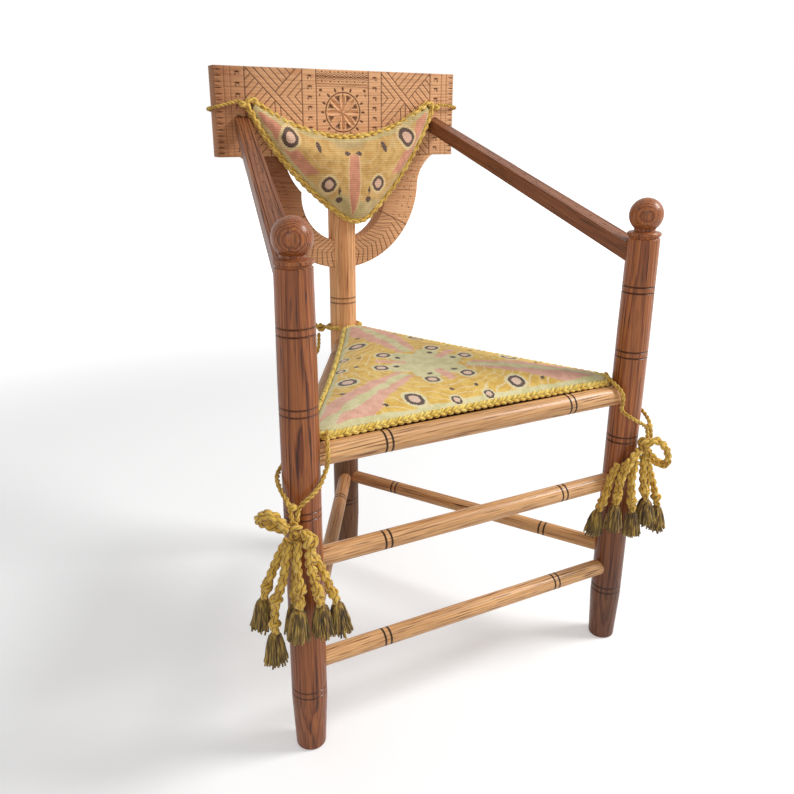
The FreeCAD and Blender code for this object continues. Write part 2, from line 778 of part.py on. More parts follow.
def posts():
    to_right = direction_between(LEFT, RIGHT)
    left_back = direction_between(LEFT, REAR)
    right_back = direction_between(RIGHT, REAR)
    fronts = {}
    for name, place, way, back, side in (("front_left_post", LEFT, to_right, left_back, -1),
                                         ("front_right_post", RIGHT, to_right * -1, right_back, 1)):
        holes = [mortise(place, way, seat_rail_height, seat_tenon_radius, back),
                 mortise(place, back, seat_rail_height, seat_tenon_radius, way),
                 mortise(place, way, upper_height, upper_tenon_radius),
                 mortise(place, way, lower_height, lower_tenon_radius),
                 mortise(place, back, side_height, side_tenon_radius),
                 arm_mortise(side)]
        fronts[name] = front_post(place).cut(holes)
    holes = []
    for back in (left_back, right_back):
        holes.append(mortise(REAR, back * -1, seat_rail_height, seat_tenon_radius, back))
        holes.append(mortise(REAR, back * -1, side_height, side_tenon_radius, back))
    holes += [yoke_half(-1, joint_gap), yoke_half(1, joint_gap)]
    holes.append(tongue_room())
    fronts["rear_post"] = rear_post_blank().cut(holes)
    return fronts


def tongue_room():
    # The middle of the rear post's mortise, where the two yoke halves meet.
    low = yoke_outer_centre - yoke_outer_radius - joint_gap
    high = yoke_inner_centre - yoke_inner_radius + joint_gap
    depth = back_thickness + 2 * joint_gap
    corner = V(-tongue_room_half, rear_y - depth / 2, low)
    return Part.makeBox(2 * tongue_room_half, depth, high - low, corner)


def rails():
    to_right = direction_between(LEFT, RIGHT)
    left_back = direction_between(LEFT, REAR)
    right_back = direction_between(RIGHT, REAR)
    groove = seat_board_solid(board_inset - joint_gap, board_thickness + 2 * joint_gap, 0)
    seat = dict(height=seat_rail_height, radius=seat_rail_radius, tenon_radius=seat_tenon_radius)
    side = dict(height=side_height, radius=side_radius, tenon_radius=side_tenon_radius)
    out = {}
    out["front_seat_rail"] = rail(LEFT, RIGHT, others=(left_back, right_back), **seat)
    out["left_seat_rail"] = rail(LEFT, REAR, others=(to_right, right_back * -1), **seat)
    out["right_seat_rail"] = rail(RIGHT, REAR, others=(to_right * -1, left_back * -1), **seat)
    for name in out:
        out[name] = out[name].cut(groove)
    out["front_upper_stretcher"] = rail(LEFT, RIGHT, upper_height, upper_radius, upper_tenon_radius)
    out["front_lower_stretcher"] = rail(LEFT, RIGHT, lower_height, lower_radius, lower_tenon_radius)
    out["left_side_stretcher"] = rail(LEFT, REAR, others=(None, right_back * -1), **side)
    out["right_side_stretcher"] = rail(RIGHT, REAR, others=(None, left_back * -1), **side)
    return out


def back():
    out = {}
    dowels = [(x, side) for x in horn_dowel_places for side in (-1, 1)]
    dowel_holes = [yoke_dowel(x, side, joint_gap) for x, side in dowels]
    post_hole = Part.makeCylinder(post_tenon_radius + joint_gap, post_tenon_length + 2 * joint_gap,
                                  REAR + V(0, 0, crest_bottom - joint_gap))
    arm_holes = [arm_dowel(side, joint_gap) for side in (-1, 1)]
    out["crest_board"] = crest_blank().cut(dowel_holes + arm_holes + [post_hole])
    out["left_back_yoke"] = yoke_half(-1, 0).cut(dowel_holes)
    out["right_back_yoke"] = yoke_half(1, 0).cut(dowel_holes)
    out["yoke_dowels"] = Part.makeCompound([yoke_dowel(x, side, 0) for x, side in dowels])
    out["left_arm"] = arm(-1)
    out["right_arm"] = arm(1)
    out["arm_dowels"] = Part.makeCompound([arm_dowel(side, 0) for side in (-1, 1)])
    return out


def soft_parts():
    out = {"seat_cushion": seat_pad(), "seat_cushion_piping": seat_piping(),
           "back_cushion": back_pad(), "back_cushion_piping": back_piping()}
    for side, flip in (("left", lambda p: p), ("right", mirrored)):
        out[side + "_tie_front"] = cord_tube(side + "_tie_front", flip(tie_front), tie_diameter)
        out[side + "_tie_back"] = cord_tube(side + "_tie_back", flip(tie_back), tie_diameter)
    for name, points in (("left_bow", left_bow), ("right_bow", right_bow), ("rear_bow", rear_bow)):
        out[name] = cord_tube(name, points, plait_diameter)
    for side, plaits, height, radius in (("left", left_plaits, tassel_height, tassel_bottom_radius),
                                         ("right", right_plaits, right_tassel_height, right_tassel_radius)):
        bells = []
        for number, points in plaits.items():
            name = side + "_plait_" + number
            out[name] = cord_tube(name, points, plait_diameter)
            bells.append(tassel(points[-1], points[-2], height, radius))
        out[side + "_tassels"] = Part.makeCompound(bells)
    for side, flip, balls, bow, plaits in (("left", lambda p: p, left_knot_balls, left_bow, left_plaits),
                                           ("right", mirrored, right_knot_balls, right_bow, right_plaits)):
        cords = [(flip(tie_front), tie_diameter), (flip(tie_back), tie_diameter), (bow, plait_diameter)]
        cords += [(points, plait_diameter) for points in plaits.values()]
        out[side + "_knots"] = knots(balls, cords)
    out["rear_knot"] = knots(rear_knot_balls, [(rear_tie, rear_tie_diameter), (rear_bow, plait_diameter)])
    back_ties = [(back_tie_left, back_tie_diameter), (back_tie_right, back_tie_diameter)]
    out["back_tie_knot"] = knots(back_knot_balls, back_ties)
    out["rear_tie"] = cord_tube("rear_tie", rear_tie, rear_tie_diameter)
    out["back_tie_left"] = cord_tube("back_tie_left", back_tie_left, back_tie_diameter)
    out["back_tie_right"] = cord_tube("back_tie_right", back_tie_right, back_tie_diameter)
    return out


def main():
    os.makedirs("parts", exist_ok=True)
    nodes = {}
    nodes.update(posts())
    nodes.update(rails())
    board = seat_board_solid(board_inset, board_thickness, board_post_gap)
    nodes["seat_board"] = board
    nodes.update(back())
    nodes.update(soft_parts())
    for name, shape in nodes.items():
        save(shape, name)
    print(len(nodes), "nodes")


main()
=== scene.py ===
import bpy
import bmesh
import math
import numpy as np
from mathutils import kdtree, Matrix, noise, Vector


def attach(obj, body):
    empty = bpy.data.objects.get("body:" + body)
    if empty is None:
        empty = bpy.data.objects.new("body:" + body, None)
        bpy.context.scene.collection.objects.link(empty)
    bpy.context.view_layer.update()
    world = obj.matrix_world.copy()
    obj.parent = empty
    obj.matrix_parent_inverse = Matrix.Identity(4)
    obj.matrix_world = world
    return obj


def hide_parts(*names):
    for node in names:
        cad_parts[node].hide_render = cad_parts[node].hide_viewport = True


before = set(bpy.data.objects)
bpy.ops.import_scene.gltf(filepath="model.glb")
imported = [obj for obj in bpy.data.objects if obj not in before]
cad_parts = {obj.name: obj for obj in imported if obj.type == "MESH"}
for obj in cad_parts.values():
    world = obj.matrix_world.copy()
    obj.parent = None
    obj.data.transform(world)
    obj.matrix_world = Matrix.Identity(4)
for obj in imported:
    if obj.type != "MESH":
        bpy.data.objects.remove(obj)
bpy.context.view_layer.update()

# A three-post oak corner chair with a carved back, dressed for rendering: wood, wool and
# needlework finishes, the carved boards, the two cushions and the wool ties.
# Metres, in the CAD frame: X along the front rail, +Y to the rear post, Z up.
MM = 0.001
Z_UP = Vector((0, 0, 1))

# Sizes repeated from the part's source, in millimetres.
FRONT_Y, REAR_Y = -214.5, 214.5
POST_X = 250.0
BACK_FACE = 202.0
BACK_REAR = 227.0
CREST_HALF = 203.3
CREST_TOP, CREST_BOTTOM = 846.5, 719.5
SEAT_PIPING_HEIGHT = 424.6
SEAT_TILT = math.radians(2.1)
FRONT_RINGS = (88.3, 339.7, 466.8, 557.6)
REAR_RINGS = (105.6, 484.8)
RING_HALF_GAP = 4.2
RAIL_RING_INSET = 109.0
BACK_CORNER = 793.5

# The pipings' outlines, in millimetres: a bow is the radius of a side's arc, by its sign to one way or the other.
SEAT_PIVOT = FRONT_Y + 5.0
SEAT_INSET = 5.0
SEAT_CORNER_RADIUS = 18.5
SEAT_SIDE_BOW = 4000.0
BACK_CORNER_X, BACK_CORNER_RADIUS = 151.0, 7.0
BACK_TIP, BACK_TIP_RADIUS = (12.0, 656.0), 38.0
BACK_SIDE_BOW, BACK_TOP_BOW = -460.0, 236.0
BACK_LEAN = math.radians(4.4)
BACK_PLANE = BACK_FACE - 5.5 - 0.6

# In metres: steps along a piping's line, and how far inside it the cover's edge stays.
RING_STEP = 0.0007
EDGE_INSET = 0.0030

# How bright the white world is as light. The camera sees it as pure white.
WORLD_LEVEL = 0.43


# ---------------------------------------------------------------- camera, floor and lamps

def place_camera():
    yaw, pitch, roll = (math.radians(angle) for angle in (28.3587, 19.3847, 0.3535))
    ahead = Vector((math.sin(yaw) * math.cos(pitch), math.cos(yaw) * math.cos(pitch), -math.sin(pitch)))
    level = Vector((math.cos(yaw), -math.sin(yaw), 0))
    above = level.cross(ahead)
    right = level * math.cos(roll) + above * math.sin(roll)
    up = above * math.cos(roll) - level * math.sin(roll)
    camera = bpy.data.objects.new("camera", bpy.data.cameras.new("camera"))
    bpy.context.collection.objects.link(camera)
    turn = Matrix((right, up, -ahead)).transposed().to_4x4()
    camera.matrix_world = Matrix.Translation((-0.5403, -0.9840, 0.7675)) @ turn
    camera.data.lens = 35.14
    camera.data.sensor_width = 36.0
    camera.data.clip_end = 100.0
    bpy.context.scene.camera = camera


def lamp(name, place, target, size, watts):
    light = bpy.data.lights.new(name, "AREA")
    light.shape = "DISK"
    light.size = size
    light.energy = watts
    made = bpy.data.objects.new(name, light)
    bpy.context.collection.objects.link(made)
    made.location = place
    made.rotation_euler = (Vector(target) - Vector(place)).to_track_quat("-Z", "Y").to_euler()


# ---------------------------------------------------------------- node helpers

class Graph:
    """Short calls that add nodes to one tree."""

    def __init__(self, tree):
        self.tree = tree

    def node(self, kind, inputs=None, **settings):
        made = self.tree.nodes.new(kind)
        for key, value in settings.items():
            setattr(made, key, value)
        for key, value in (inputs or {}).items():
            self.feed(made.inputs[key], value)
        return made

    def feed(self, socket, value):
        if isinstance(value, bpy.types.NodeSocket):
            self.tree.links.new(value, socket)
        elif isinstance(value, (tuple, list)) and socket.type == "RGBA" and len(value) == 3:
            socket.default_value = (*value, 1)
        else:
            socket.default_value = value

    def math(self, operation, *values):
        made = self.node("ShaderNodeMath", operation=operation)
        for socket, value in zip(made.inputs, values):
            self.feed(socket, value)
        return made.outputs[0]

    def total(self, *values):
        out = values[0]
        for value in values[1:]:
            out = self.math("ADD", out, value)
        return out

    def vector(self, operation, a, b=(0, 0, 0)):
        made = self.node("ShaderNodeVectorMath", operation=operation)
        self.feed(made.inputs[0], a)
        self.feed(made.inputs[1], b)
        return made.outputs[0]

    def split(self, vector):
        return self.node("ShaderNodeSeparateXYZ", {"Vector": vector}).outputs

    def join(self, x, y, z):
        return self.node("ShaderNodeCombineXYZ", {"X": x, "Y": y, "Z": z}).outputs[0]

    def noise(self, vector, scale, detail=2.0, roughness=0.5):
        return self.node("ShaderNodeTexNoise", {"Vector": vector, "Scale": scale, "Detail": detail,
                                                "Roughness": roughness}).outputs[0]

    def span(self, value, low, high, to_low=0.0, to_high=1.0, smooth=True):
        kind = "SMOOTHSTEP" if smooth else "LINEAR"
        return self.node("ShaderNodeMapRange", {"Value": value, "From Min": low, "From Max": high,
                                                "To Min": to_low, "To Max": to_high},
                         interpolation_type=kind).outputs[0]

    def mix(self, factor, a, b, kind="MIX"):
        made = self.node("ShaderNodeMix", data_type="RGBA", blend_type=kind)
        self.feed(made.inputs[0], factor)
        self.feed(made.inputs[6], a)
        self.feed(made.inputs[7], b)
        return made.outputs[2]

    def ramp(self, factor, stops):
        made = self.node("ShaderNodeValToRGB", {"Fac": factor})
        elements = made.color_ramp.elements
        while len(elements) < len(stops):
            elements.new(1.0)
        for element, (place, colour) in zip(elements, stops):
            element.position = place
            element.color = (*colour, 1)
        return made.outputs[0]

    def group(self, tree, inputs):
        made = self.tree.nodes.new("ShaderNodeGroup")
        made.node_tree = tree
        for key, value in inputs.items():
            self.feed(made.inputs[key], value)
        return made.outputs

    def seen(self):
        # 1 for what the camera sees, straight or through a gloss, and 0 for light.
        path = self.node("ShaderNodeLightPath").outputs
        return self.math("MAXIMUM", path["Is Camera Ray"],
                         self.math("MAXIMUM", path["Is Glossy Ray"], path["Is Transmission Ray"]))


def shader_group(name, inputs, outputs):
    tree = bpy.data.node_groups.new(name, "ShaderNodeTree")
    for label, kind, value in inputs:
        socket = tree.interface.new_socket(name=label, in_out="INPUT", socket_type="NodeSocket" + kind)
        if value is not None:
            socket.default_value = value
    for label, kind in outputs:
        tree.interface.new_socket(name=label, in_out="OUTPUT", socket_type="NodeSocket" + kind)
    graph = Graph(tree)
    start = graph.node("NodeGroupInput").outputs
    end = graph.node("NodeGroupOutput").inputs
    return tree, graph, start, end


def oak_figure():
    # Oak round a pith line on Z: growth rings with a porous dark side, fibre, pores, drift.
    tree, g, given, out = shader_group(
        "oak figure",
        [("Vector", "Vector", None), ("Ring Pitch", "Float", 0.004), ("Ring Wander", "Float", 0.006)],
        [("Rings", "Float"), ("Fibre", "Float"), ("Pores", "Float"), ("Drift", "Float")])
    x, y, z = g.split(given["Vector"])
    slow = g.noise(g.join(x, y, g.math("MULTIPLY", z, 0.14)), 13.0, 2.0)
    fine = g.noise(g.join(x, y, g.math("MULTIPLY", z, 0.05)), 130.0, 1.0)
    radius = g.math("SQRT", g.total(g.math("MULTIPLY", x, x), g.math("MULTIPLY", y, y)))
    bent = g.math("MULTIPLY_ADD", g.math("SUBTRACT", slow, 0.5), g.math("MULTIPLY", given["Ring Wander"], 2.0),
                  radius)
    bent = g.math("MULTIPLY_ADD", g.math("SUBTRACT", fine, 0.5), g.math("MULTIPLY", given["Ring Pitch"], 0.9),
                  bent)
    phase = g.math("FRACT", g.math("DIVIDE", bent, given["Ring Pitch"]))
    late = g.math("POWER", g.math("SUBTRACT", 1.0, phase), 1.9)
    rings = g.math("MULTIPLY", late, g.span(phase, 0.0, 0.07))
    fibre = g.noise(g.join(x, y, g.math("MULTIPLY", z, 0.022)), 620.0, 3.0, 0.6)
    dash = g.noise(g.join(x, y, g.math("MULTIPLY", z, 0.05)), 430.0, 1.0, 0.4)
    pores = g.math("MULTIPLY", g.span(dash, 0.56, 0.68), g.span(rings, 0.05, 0.6, 0.4, 1.0))
    drift = g.noise(g.join(x, y, g.math("MULTIPLY", z, 0.3)), 7.0, 2.0)
    for label, value in zip(("Rings", "Fibre", "Pores", "Drift"), (rings, fibre, pores, drift)):
        g.feed(out[label], value)
    return tree


def scored_band():
    # A pair of turned rings at the same distance either side of a centre.
    tree, g, given, out = shader_group(
        "scored band",
        [("Along", "Float", 0.0), ("Centre", "Float", 0.0), ("Half Gap", "Float", 0.0042),
         ("Half Width", "Float", 0.0012)],
        [("Mask", "Float")])
    off = g.math("ABSOLUTE", g.math("SUBTRACT", given["Along"], given["Centre"]))
    off = g.math("ABSOLUTE", g.math("SUBTRACT", off, given["Half Gap"]))
    g.feed(out["Mask"], g.span(off, g.math("MULTIPLY", given["Half Width"], 1.25),
                               g.math("MULTIPLY", given["Half Width"], 0.75)))
    return tree


def yarn_plies():
    # Spun wool along a strand: UV runs round it once and along it in metres.
    tree, g, given, out = shader_group(
        "yarn plies",
        [("UV", "Vector", None), ("Plies", "Float", 3.0), ("Twist", "Float", 0.008), ("Seed", "Float", 0.0)],
        [("Height", "Float"), ("Shade", "Float"), ("Drift", "Float")])
    round_it, along, _ = g.split(given["UV"])
    turn = g.math("MULTIPLY_ADD", round_it, given["Plies"], g.math("DIVIDE", along, given["Twist"]))
    ply = g.math("ABSOLUTE", g.math("SINE", g.math("MULTIPLY", turn, math.pi)))
    ring = g.math("MULTIPLY", round_it, 2 * math.pi)
    place = g.join(g.math("MULTIPLY", g.math("COSINE", ring), 0.004),
                   g.math("MULTIPLY", g.math("SINE", ring), 0.004),
                   g.math("MULTIPLY_ADD", along, 0.5, given["Seed"]))
    hairs = g.noise(place, 1500.0, 2.0, 0.7)
    g.feed(out["Height"], g.math("MULTIPLY_ADD", hairs, 0.55, ply))
    g.feed(out["Shade"], g.math("MULTIPLY_ADD", g.math("SUBTRACT", hairs, 0.5), 0.5, g.span(ply, 0.0, 0.7)))
    g.feed(out["Drift"], g.noise(g.join(given["Seed"], 0.0, along), 45.0, 2.0))
    return tree


def needle_stitches():
    # Coordinates stepped to whole stitches, with the raised rows that they make.
    tree, g, given, out = shader_group(
        "needle stitches",
        [("Across", "Float", 0.0), ("Along", "Float", 0.0), ("Stitch", "Float", 0.0016)],
        [("Across", "Float"), ("Along", "Float"), ("Row", "Float"), ("Shade", "Float")])
    def ridges(value):
        turns = g.math("MULTIPLY", g.math("DIVIDE", value, given["Stitch"]), math.pi)
        return g.math("ABSOLUTE", g.math("SINE", turns))

    half_step = g.math("MULTIPLY", given["Stitch"], 0.5)
    across = g.math("ADD", g.math("SNAP", given["Across"], given["Stitch"]), half_step)
    along = g.math("ADD", g.math("SNAP", given["Along"], given["Stitch"]), half_step)
    row = ridges(given["Along"])
    slant = g.math("ADD", given["Across"], g.math("MULTIPLY", given["Along"], 0.6))
    tuft = ridges(slant)
    cell = g.node("ShaderNodeTexWhiteNoise", {"Vector": g.join(across, along, 0.0)},
                  noise_dimensions="3D").outputs[0]
    g.feed(out["Across"], across)
    g.feed(out["Along"], along)
    g.feed(out["Row"], g.math("MULTIPLY_ADD", tuft, 0.3, row))
    g.feed(out["Shade"], cell)
    return tree


OAK = oak_figure()
BAND = scored_band()
YARN = yarn_plies()
STITCHES = needle_stitches()


def new_material(name):
    made = bpy.data.materials.new(name)
    made.use_nodes = True
    made.node_tree.nodes.clear()
    return made, Graph(made.node_tree)


def finish_material(g, colour, roughness, height, strength, distance, **sockets):
    values = {"Base Color": colour, "Roughness": roughness}
    if height is not None:
        bump = g.node("ShaderNodeBump", {"Height": height, "Strength": strength, "Distance": distance})
        values["Normal"] = bump.outputs[0]
    values.update(sockets)
    shader = g.node("ShaderNodeBsdfPrincipled", values)
    g.node("ShaderNodeOutputMaterial", {"Surface": shader.outputs[0]})


def pale_ground(name, diffuse, near, far):
    # Pale studio ground: lit as it is, and shown brighter to the camera away from the chair.
    made, g = new_material(name)
    place = g.node("ShaderNodeTexCoord").outputs["Object"]
    away = g.node("ShaderNodeVectorMath", {0: place}, operation="LENGTH").outputs["Value"]
    lift = g.span(away, 1.1, 3.0, near, far)
    glow = g.node("ShaderNodeEmission", {"Color": (1, 1, 1), "Strength": g.math("MULTIPLY", g.seen(), lift)})
    matt = g.node("ShaderNodeBsdfDiffuse", {"Color": (diffuse, diffuse, diffuse)})
    both = g.node("ShaderNodeAddShader")
    g.feed(both.inputs[0], matt.outputs[0])
    g.feed(both.inputs[1], glow.outputs[0])
    g.node("ShaderNodeOutputMaterial", {"Surface": both.outputs[0]})
    return made


def light_scene():
    scene = bpy.context.scene
    scene.view_settings.view_transform = "Standard"
    world = bpy.data.worlds.new("studio")
    scene.world = world
    world.use_nodes = True
    world.node_tree.nodes.clear()
    g = Graph(world.node_tree)
    strength = g.math("MULTIPLY_ADD", g.seen(), 1.0 - WORLD_LEVEL, WORLD_LEVEL)
    sky = g.node("ShaderNodeBackground", {"Color": (1, 1, 1), "Strength": strength})
    g.node("ShaderNodeOutputWorld", {"Surface": sky.outputs[0]})
    lamp("key", (1.9, -1.0, 2.2), (0, 0, 0.35), 1.0, 60)
    lamp("front fill", (-1.6, -2.2, 1.5), (0, 0, 0.45), 1.6, 10)
    floor = mesh_object("floor", [(-12, -12, 0), (12, -12, 0), (12, 12, 0), (-12, 12, 0)], [(0, 1, 2, 3)])
    floor.data.materials.append(pale_ground("pale floor", 0.8, 0.31, 1.0))


# ---------------------------------------------------------------- mesh helpers

def mesh_object(name, points, faces, smooth=True):
    mesh = bpy.data.meshes.new(name)
    mesh.from_pydata([tuple(p) for p in points], [], faces)
    mesh.polygons.foreach_set("use_smooth", [smooth] * len(mesh.polygons))
    made = bpy.data.objects.new(name, mesh)
    bpy.context.collection.objects.link(made)
    return made


def dress(made, node, material):
    # What a piece is made of, with the CAD part that it stands for hidden. It rides on the one body.
    made.data.materials.clear()
    made.data.materials.append(material)
    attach(made, "root")
    if node:
        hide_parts(node)
    return made


def arc_lengths(points):
    return np.concatenate([[0.0], np.cumsum(np.linalg.norm(np.diff(points, axis=0), axis=1))])


def evenly(points, step, closed=False):
    points = np.asarray(points, float)
    if closed:
        points = np.vstack([points, points[:1]])
    along = arc_lengths(points)
    count = max(4, int(round(along[-1] / step)))
    places = np.linspace(0, along[-1], count + 1)
    made = np.column_stack([np.interp(places, along, points[:, i]) for i in range(3)])
    return made[:-1] if closed else made


def frames(points, closed=False, first=None):
    # A side and an upward direction at each point, carried along without twist.
    points = np.asarray(points, float)
    if closed:
        ways = np.roll(points, -1, 0) - np.roll(points, 1, 0)
    else:
        ways = np.gradient(points, axis=0)
    ways /= np.linalg.norm(ways, axis=1)[:, None]
    side = np.array(first if first is not None else (0.31, 0.87, 0.38))
    sides = []
    for way in ways:
        side = side - way * side.dot(way)
        side /= np.linalg.norm(side)
        sides.append(side)
    sides = np.array(sides)
    return sides, np.cross(ways, sides)


def tubes(name, lines, radii, sides=8, closed=False):
    """One mesh of tubes, each round its own line, with UV "yarn" round and along each."""
    points, faces, uvs = [], [], []
    for line, radius in zip(lines, radii):
        line = np.asarray(line, float)
        side, up = frames(line, closed)
        width = np.broadcast_to(radius, (len(line),))
        base = len(points)
        along = arc_lengths(np.vstack([line, line[:1]]) if closed else line)
        for i, centre in enumerate(line):
            for k in range(sides):
                angle = 2 * math.pi * k / sides
                points.append(centre + (side[i] * math.cos(angle) + up[i] * math.sin(angle)) * width[i])
        rings = len(line)
        for i in range(rings if closed else rings - 1):
            j = (i + 1) % rings
            for k in range(sides):
                m = (k + 1) % sides
                near, far = base + i * sides, base + j * sides
                faces.append((near + k, near + m, far + m, far + k))
                u, w = k / sides, (k + 1) / sides
                uvs += [(u, along[i]), (w, along[i]), (w, along[i + 1]), (u, along[i + 1])]
        if not closed:
            for ring, beside in ((0, 1), (rings - 1, rings - 2)):
                out = line[ring] - line[beside]
                points.append(line[ring] + out / np.linalg.norm(out) * width[ring] * 0.5)
                tip = len(points) - 1
                for k in range(sides):
                    m = (k + 1) % sides
                    a, b = base + ring * sides + k, base + ring * sides + m
                    faces.append((a, b, tip) if ring else (b, a, tip))
                    uvs += [(k / sides, along[ring])] * 3
    made = mesh_object(name, points, faces)
    layer = made.data.uv_layers.new(name="yarn")
    layer.data.foreach_set("uv", np.array(uvs, float).ravel())
    return made


# ---------------------------------------------------------------- cords

def route_line(points):
    # The smooth line of a cord: a NURBS spline with the route's points as control points.
    curve = bpy.data.curves.new("route", "CURVE")
    curve.dimensions = "3D"
    spline = curve.splines.new("NURBS")
    spline.points.add(len(points) - 1)
    for place, point in zip(spline.points, points):
        place.co = (*(Vector(point) * MM), 1)
    spline.order_u = 3
    spline.use_endpoint_u = True
    curve.resolution_u = 16
    carrier = bpy.data.objects.new("route", curve)
    bpy.context.collection.objects.link(carrier)
    graph = bpy.context.evaluated_depsgraph_get()
    mesh = bpy.data.meshes.new_from_object(carrier.evaluated_get(graph))
    line = np.array([vertex.co[:] for vertex in mesh.vertices])
    bpy.data.objects.remove(carrier)
    bpy.data.curves.remove(curve)
    bpy.data.meshes.remove(mesh)
    return line


def plaited(line, diameter, pitch, first=None, closed=False, swing=0.27, cross=0.15):
    # Three strands that cross over each other in turn.
    line = evenly(line, pitch / 14, closed)
    side, up = frames(line, closed, first)
    along = arc_lengths(np.vstack([line, line[:1]]) if closed else line)
    turns = along[:len(line)] / pitch
    if closed:
        turns *= round(along[-1] / pitch) / (along[-1] / pitch)
    strands = []
    for k in range(3):
        phase = 2 * math.pi * (turns + k / 3)
        across, over = swing * diameter * np.sin(phase), cross * diameter * np.sin(2 * phase)
        strands.append(line + side * across[:, None] + up * over[:, None])
    return strands


def twisted(line, diameter, pitch):
    # Two plies laid round each other like a rope.
    line = evenly(line, pitch / 12)
    side, up = frames(line)
    turns = arc_lengths(line) / pitch
    reach = diameter * 0.25
    strands = []
    for k in range(2):
        phase = 2 * math.pi * (turns + k / 2)
        strands.append(line + (side * np.cos(phase)[:, None] + up * np.sin(phase)[:, None]) * reach)
    return strands


def knotted(name, groups, wool, node, strand, seed=0.0):
    # Each ball of a knot as an overhand coil of yarn round a core.
    lines, radii = [], []
    for n, (centre, radius) in enumerate(groups):
        axis = Vector((0.4, 0.3 + 0.2 * n, 1)).normalized()
        turn = np.array(Matrix.Rotation(0.9 + 1.3 * n + seed, 3, axis))
        wide = radius - strand
        steps = np.linspace(0, 2 * math.pi, 72, endpoint=False)
        swing = 0.62 + 0.38 * np.cos(3 * steps)
        loop = np.column_stack([swing * np.cos(2 * steps), swing * np.sin(2 * steps), 0.62 * np.sin(3 * steps)])
        loop *= wide / np.linalg.norm(loop, axis=1).max()
        lines.append((np.array(centre) + loop @ turn.T) * MM)
        radii.append(strand * MM)
    made = tubes(name, lines, radii, 8, closed=True)
    core = bmesh.new()
    for centre, radius in groups:
        size = max(radius - 1.6 * strand, 0.35 * radius) * MM
        bmesh.ops.create_icosphere(core, subdivisions=2, radius=size,
                                   matrix=Matrix.Translation(Vector(centre) * MM))
    own = bmesh.new()
    own.from_mesh(made.data)
    extra = bpy.data.meshes.new("core")
    core.to_mesh(extra)
    own.from_mesh(extra)
    own.to_mesh(made.data)
    core.free()
    own.free()
    bpy.data.meshes.remove(extra)
    made.data.polygons.foreach_set("use_smooth", [True] * len(made.data.polygons))
    return dress(made, node, wool)


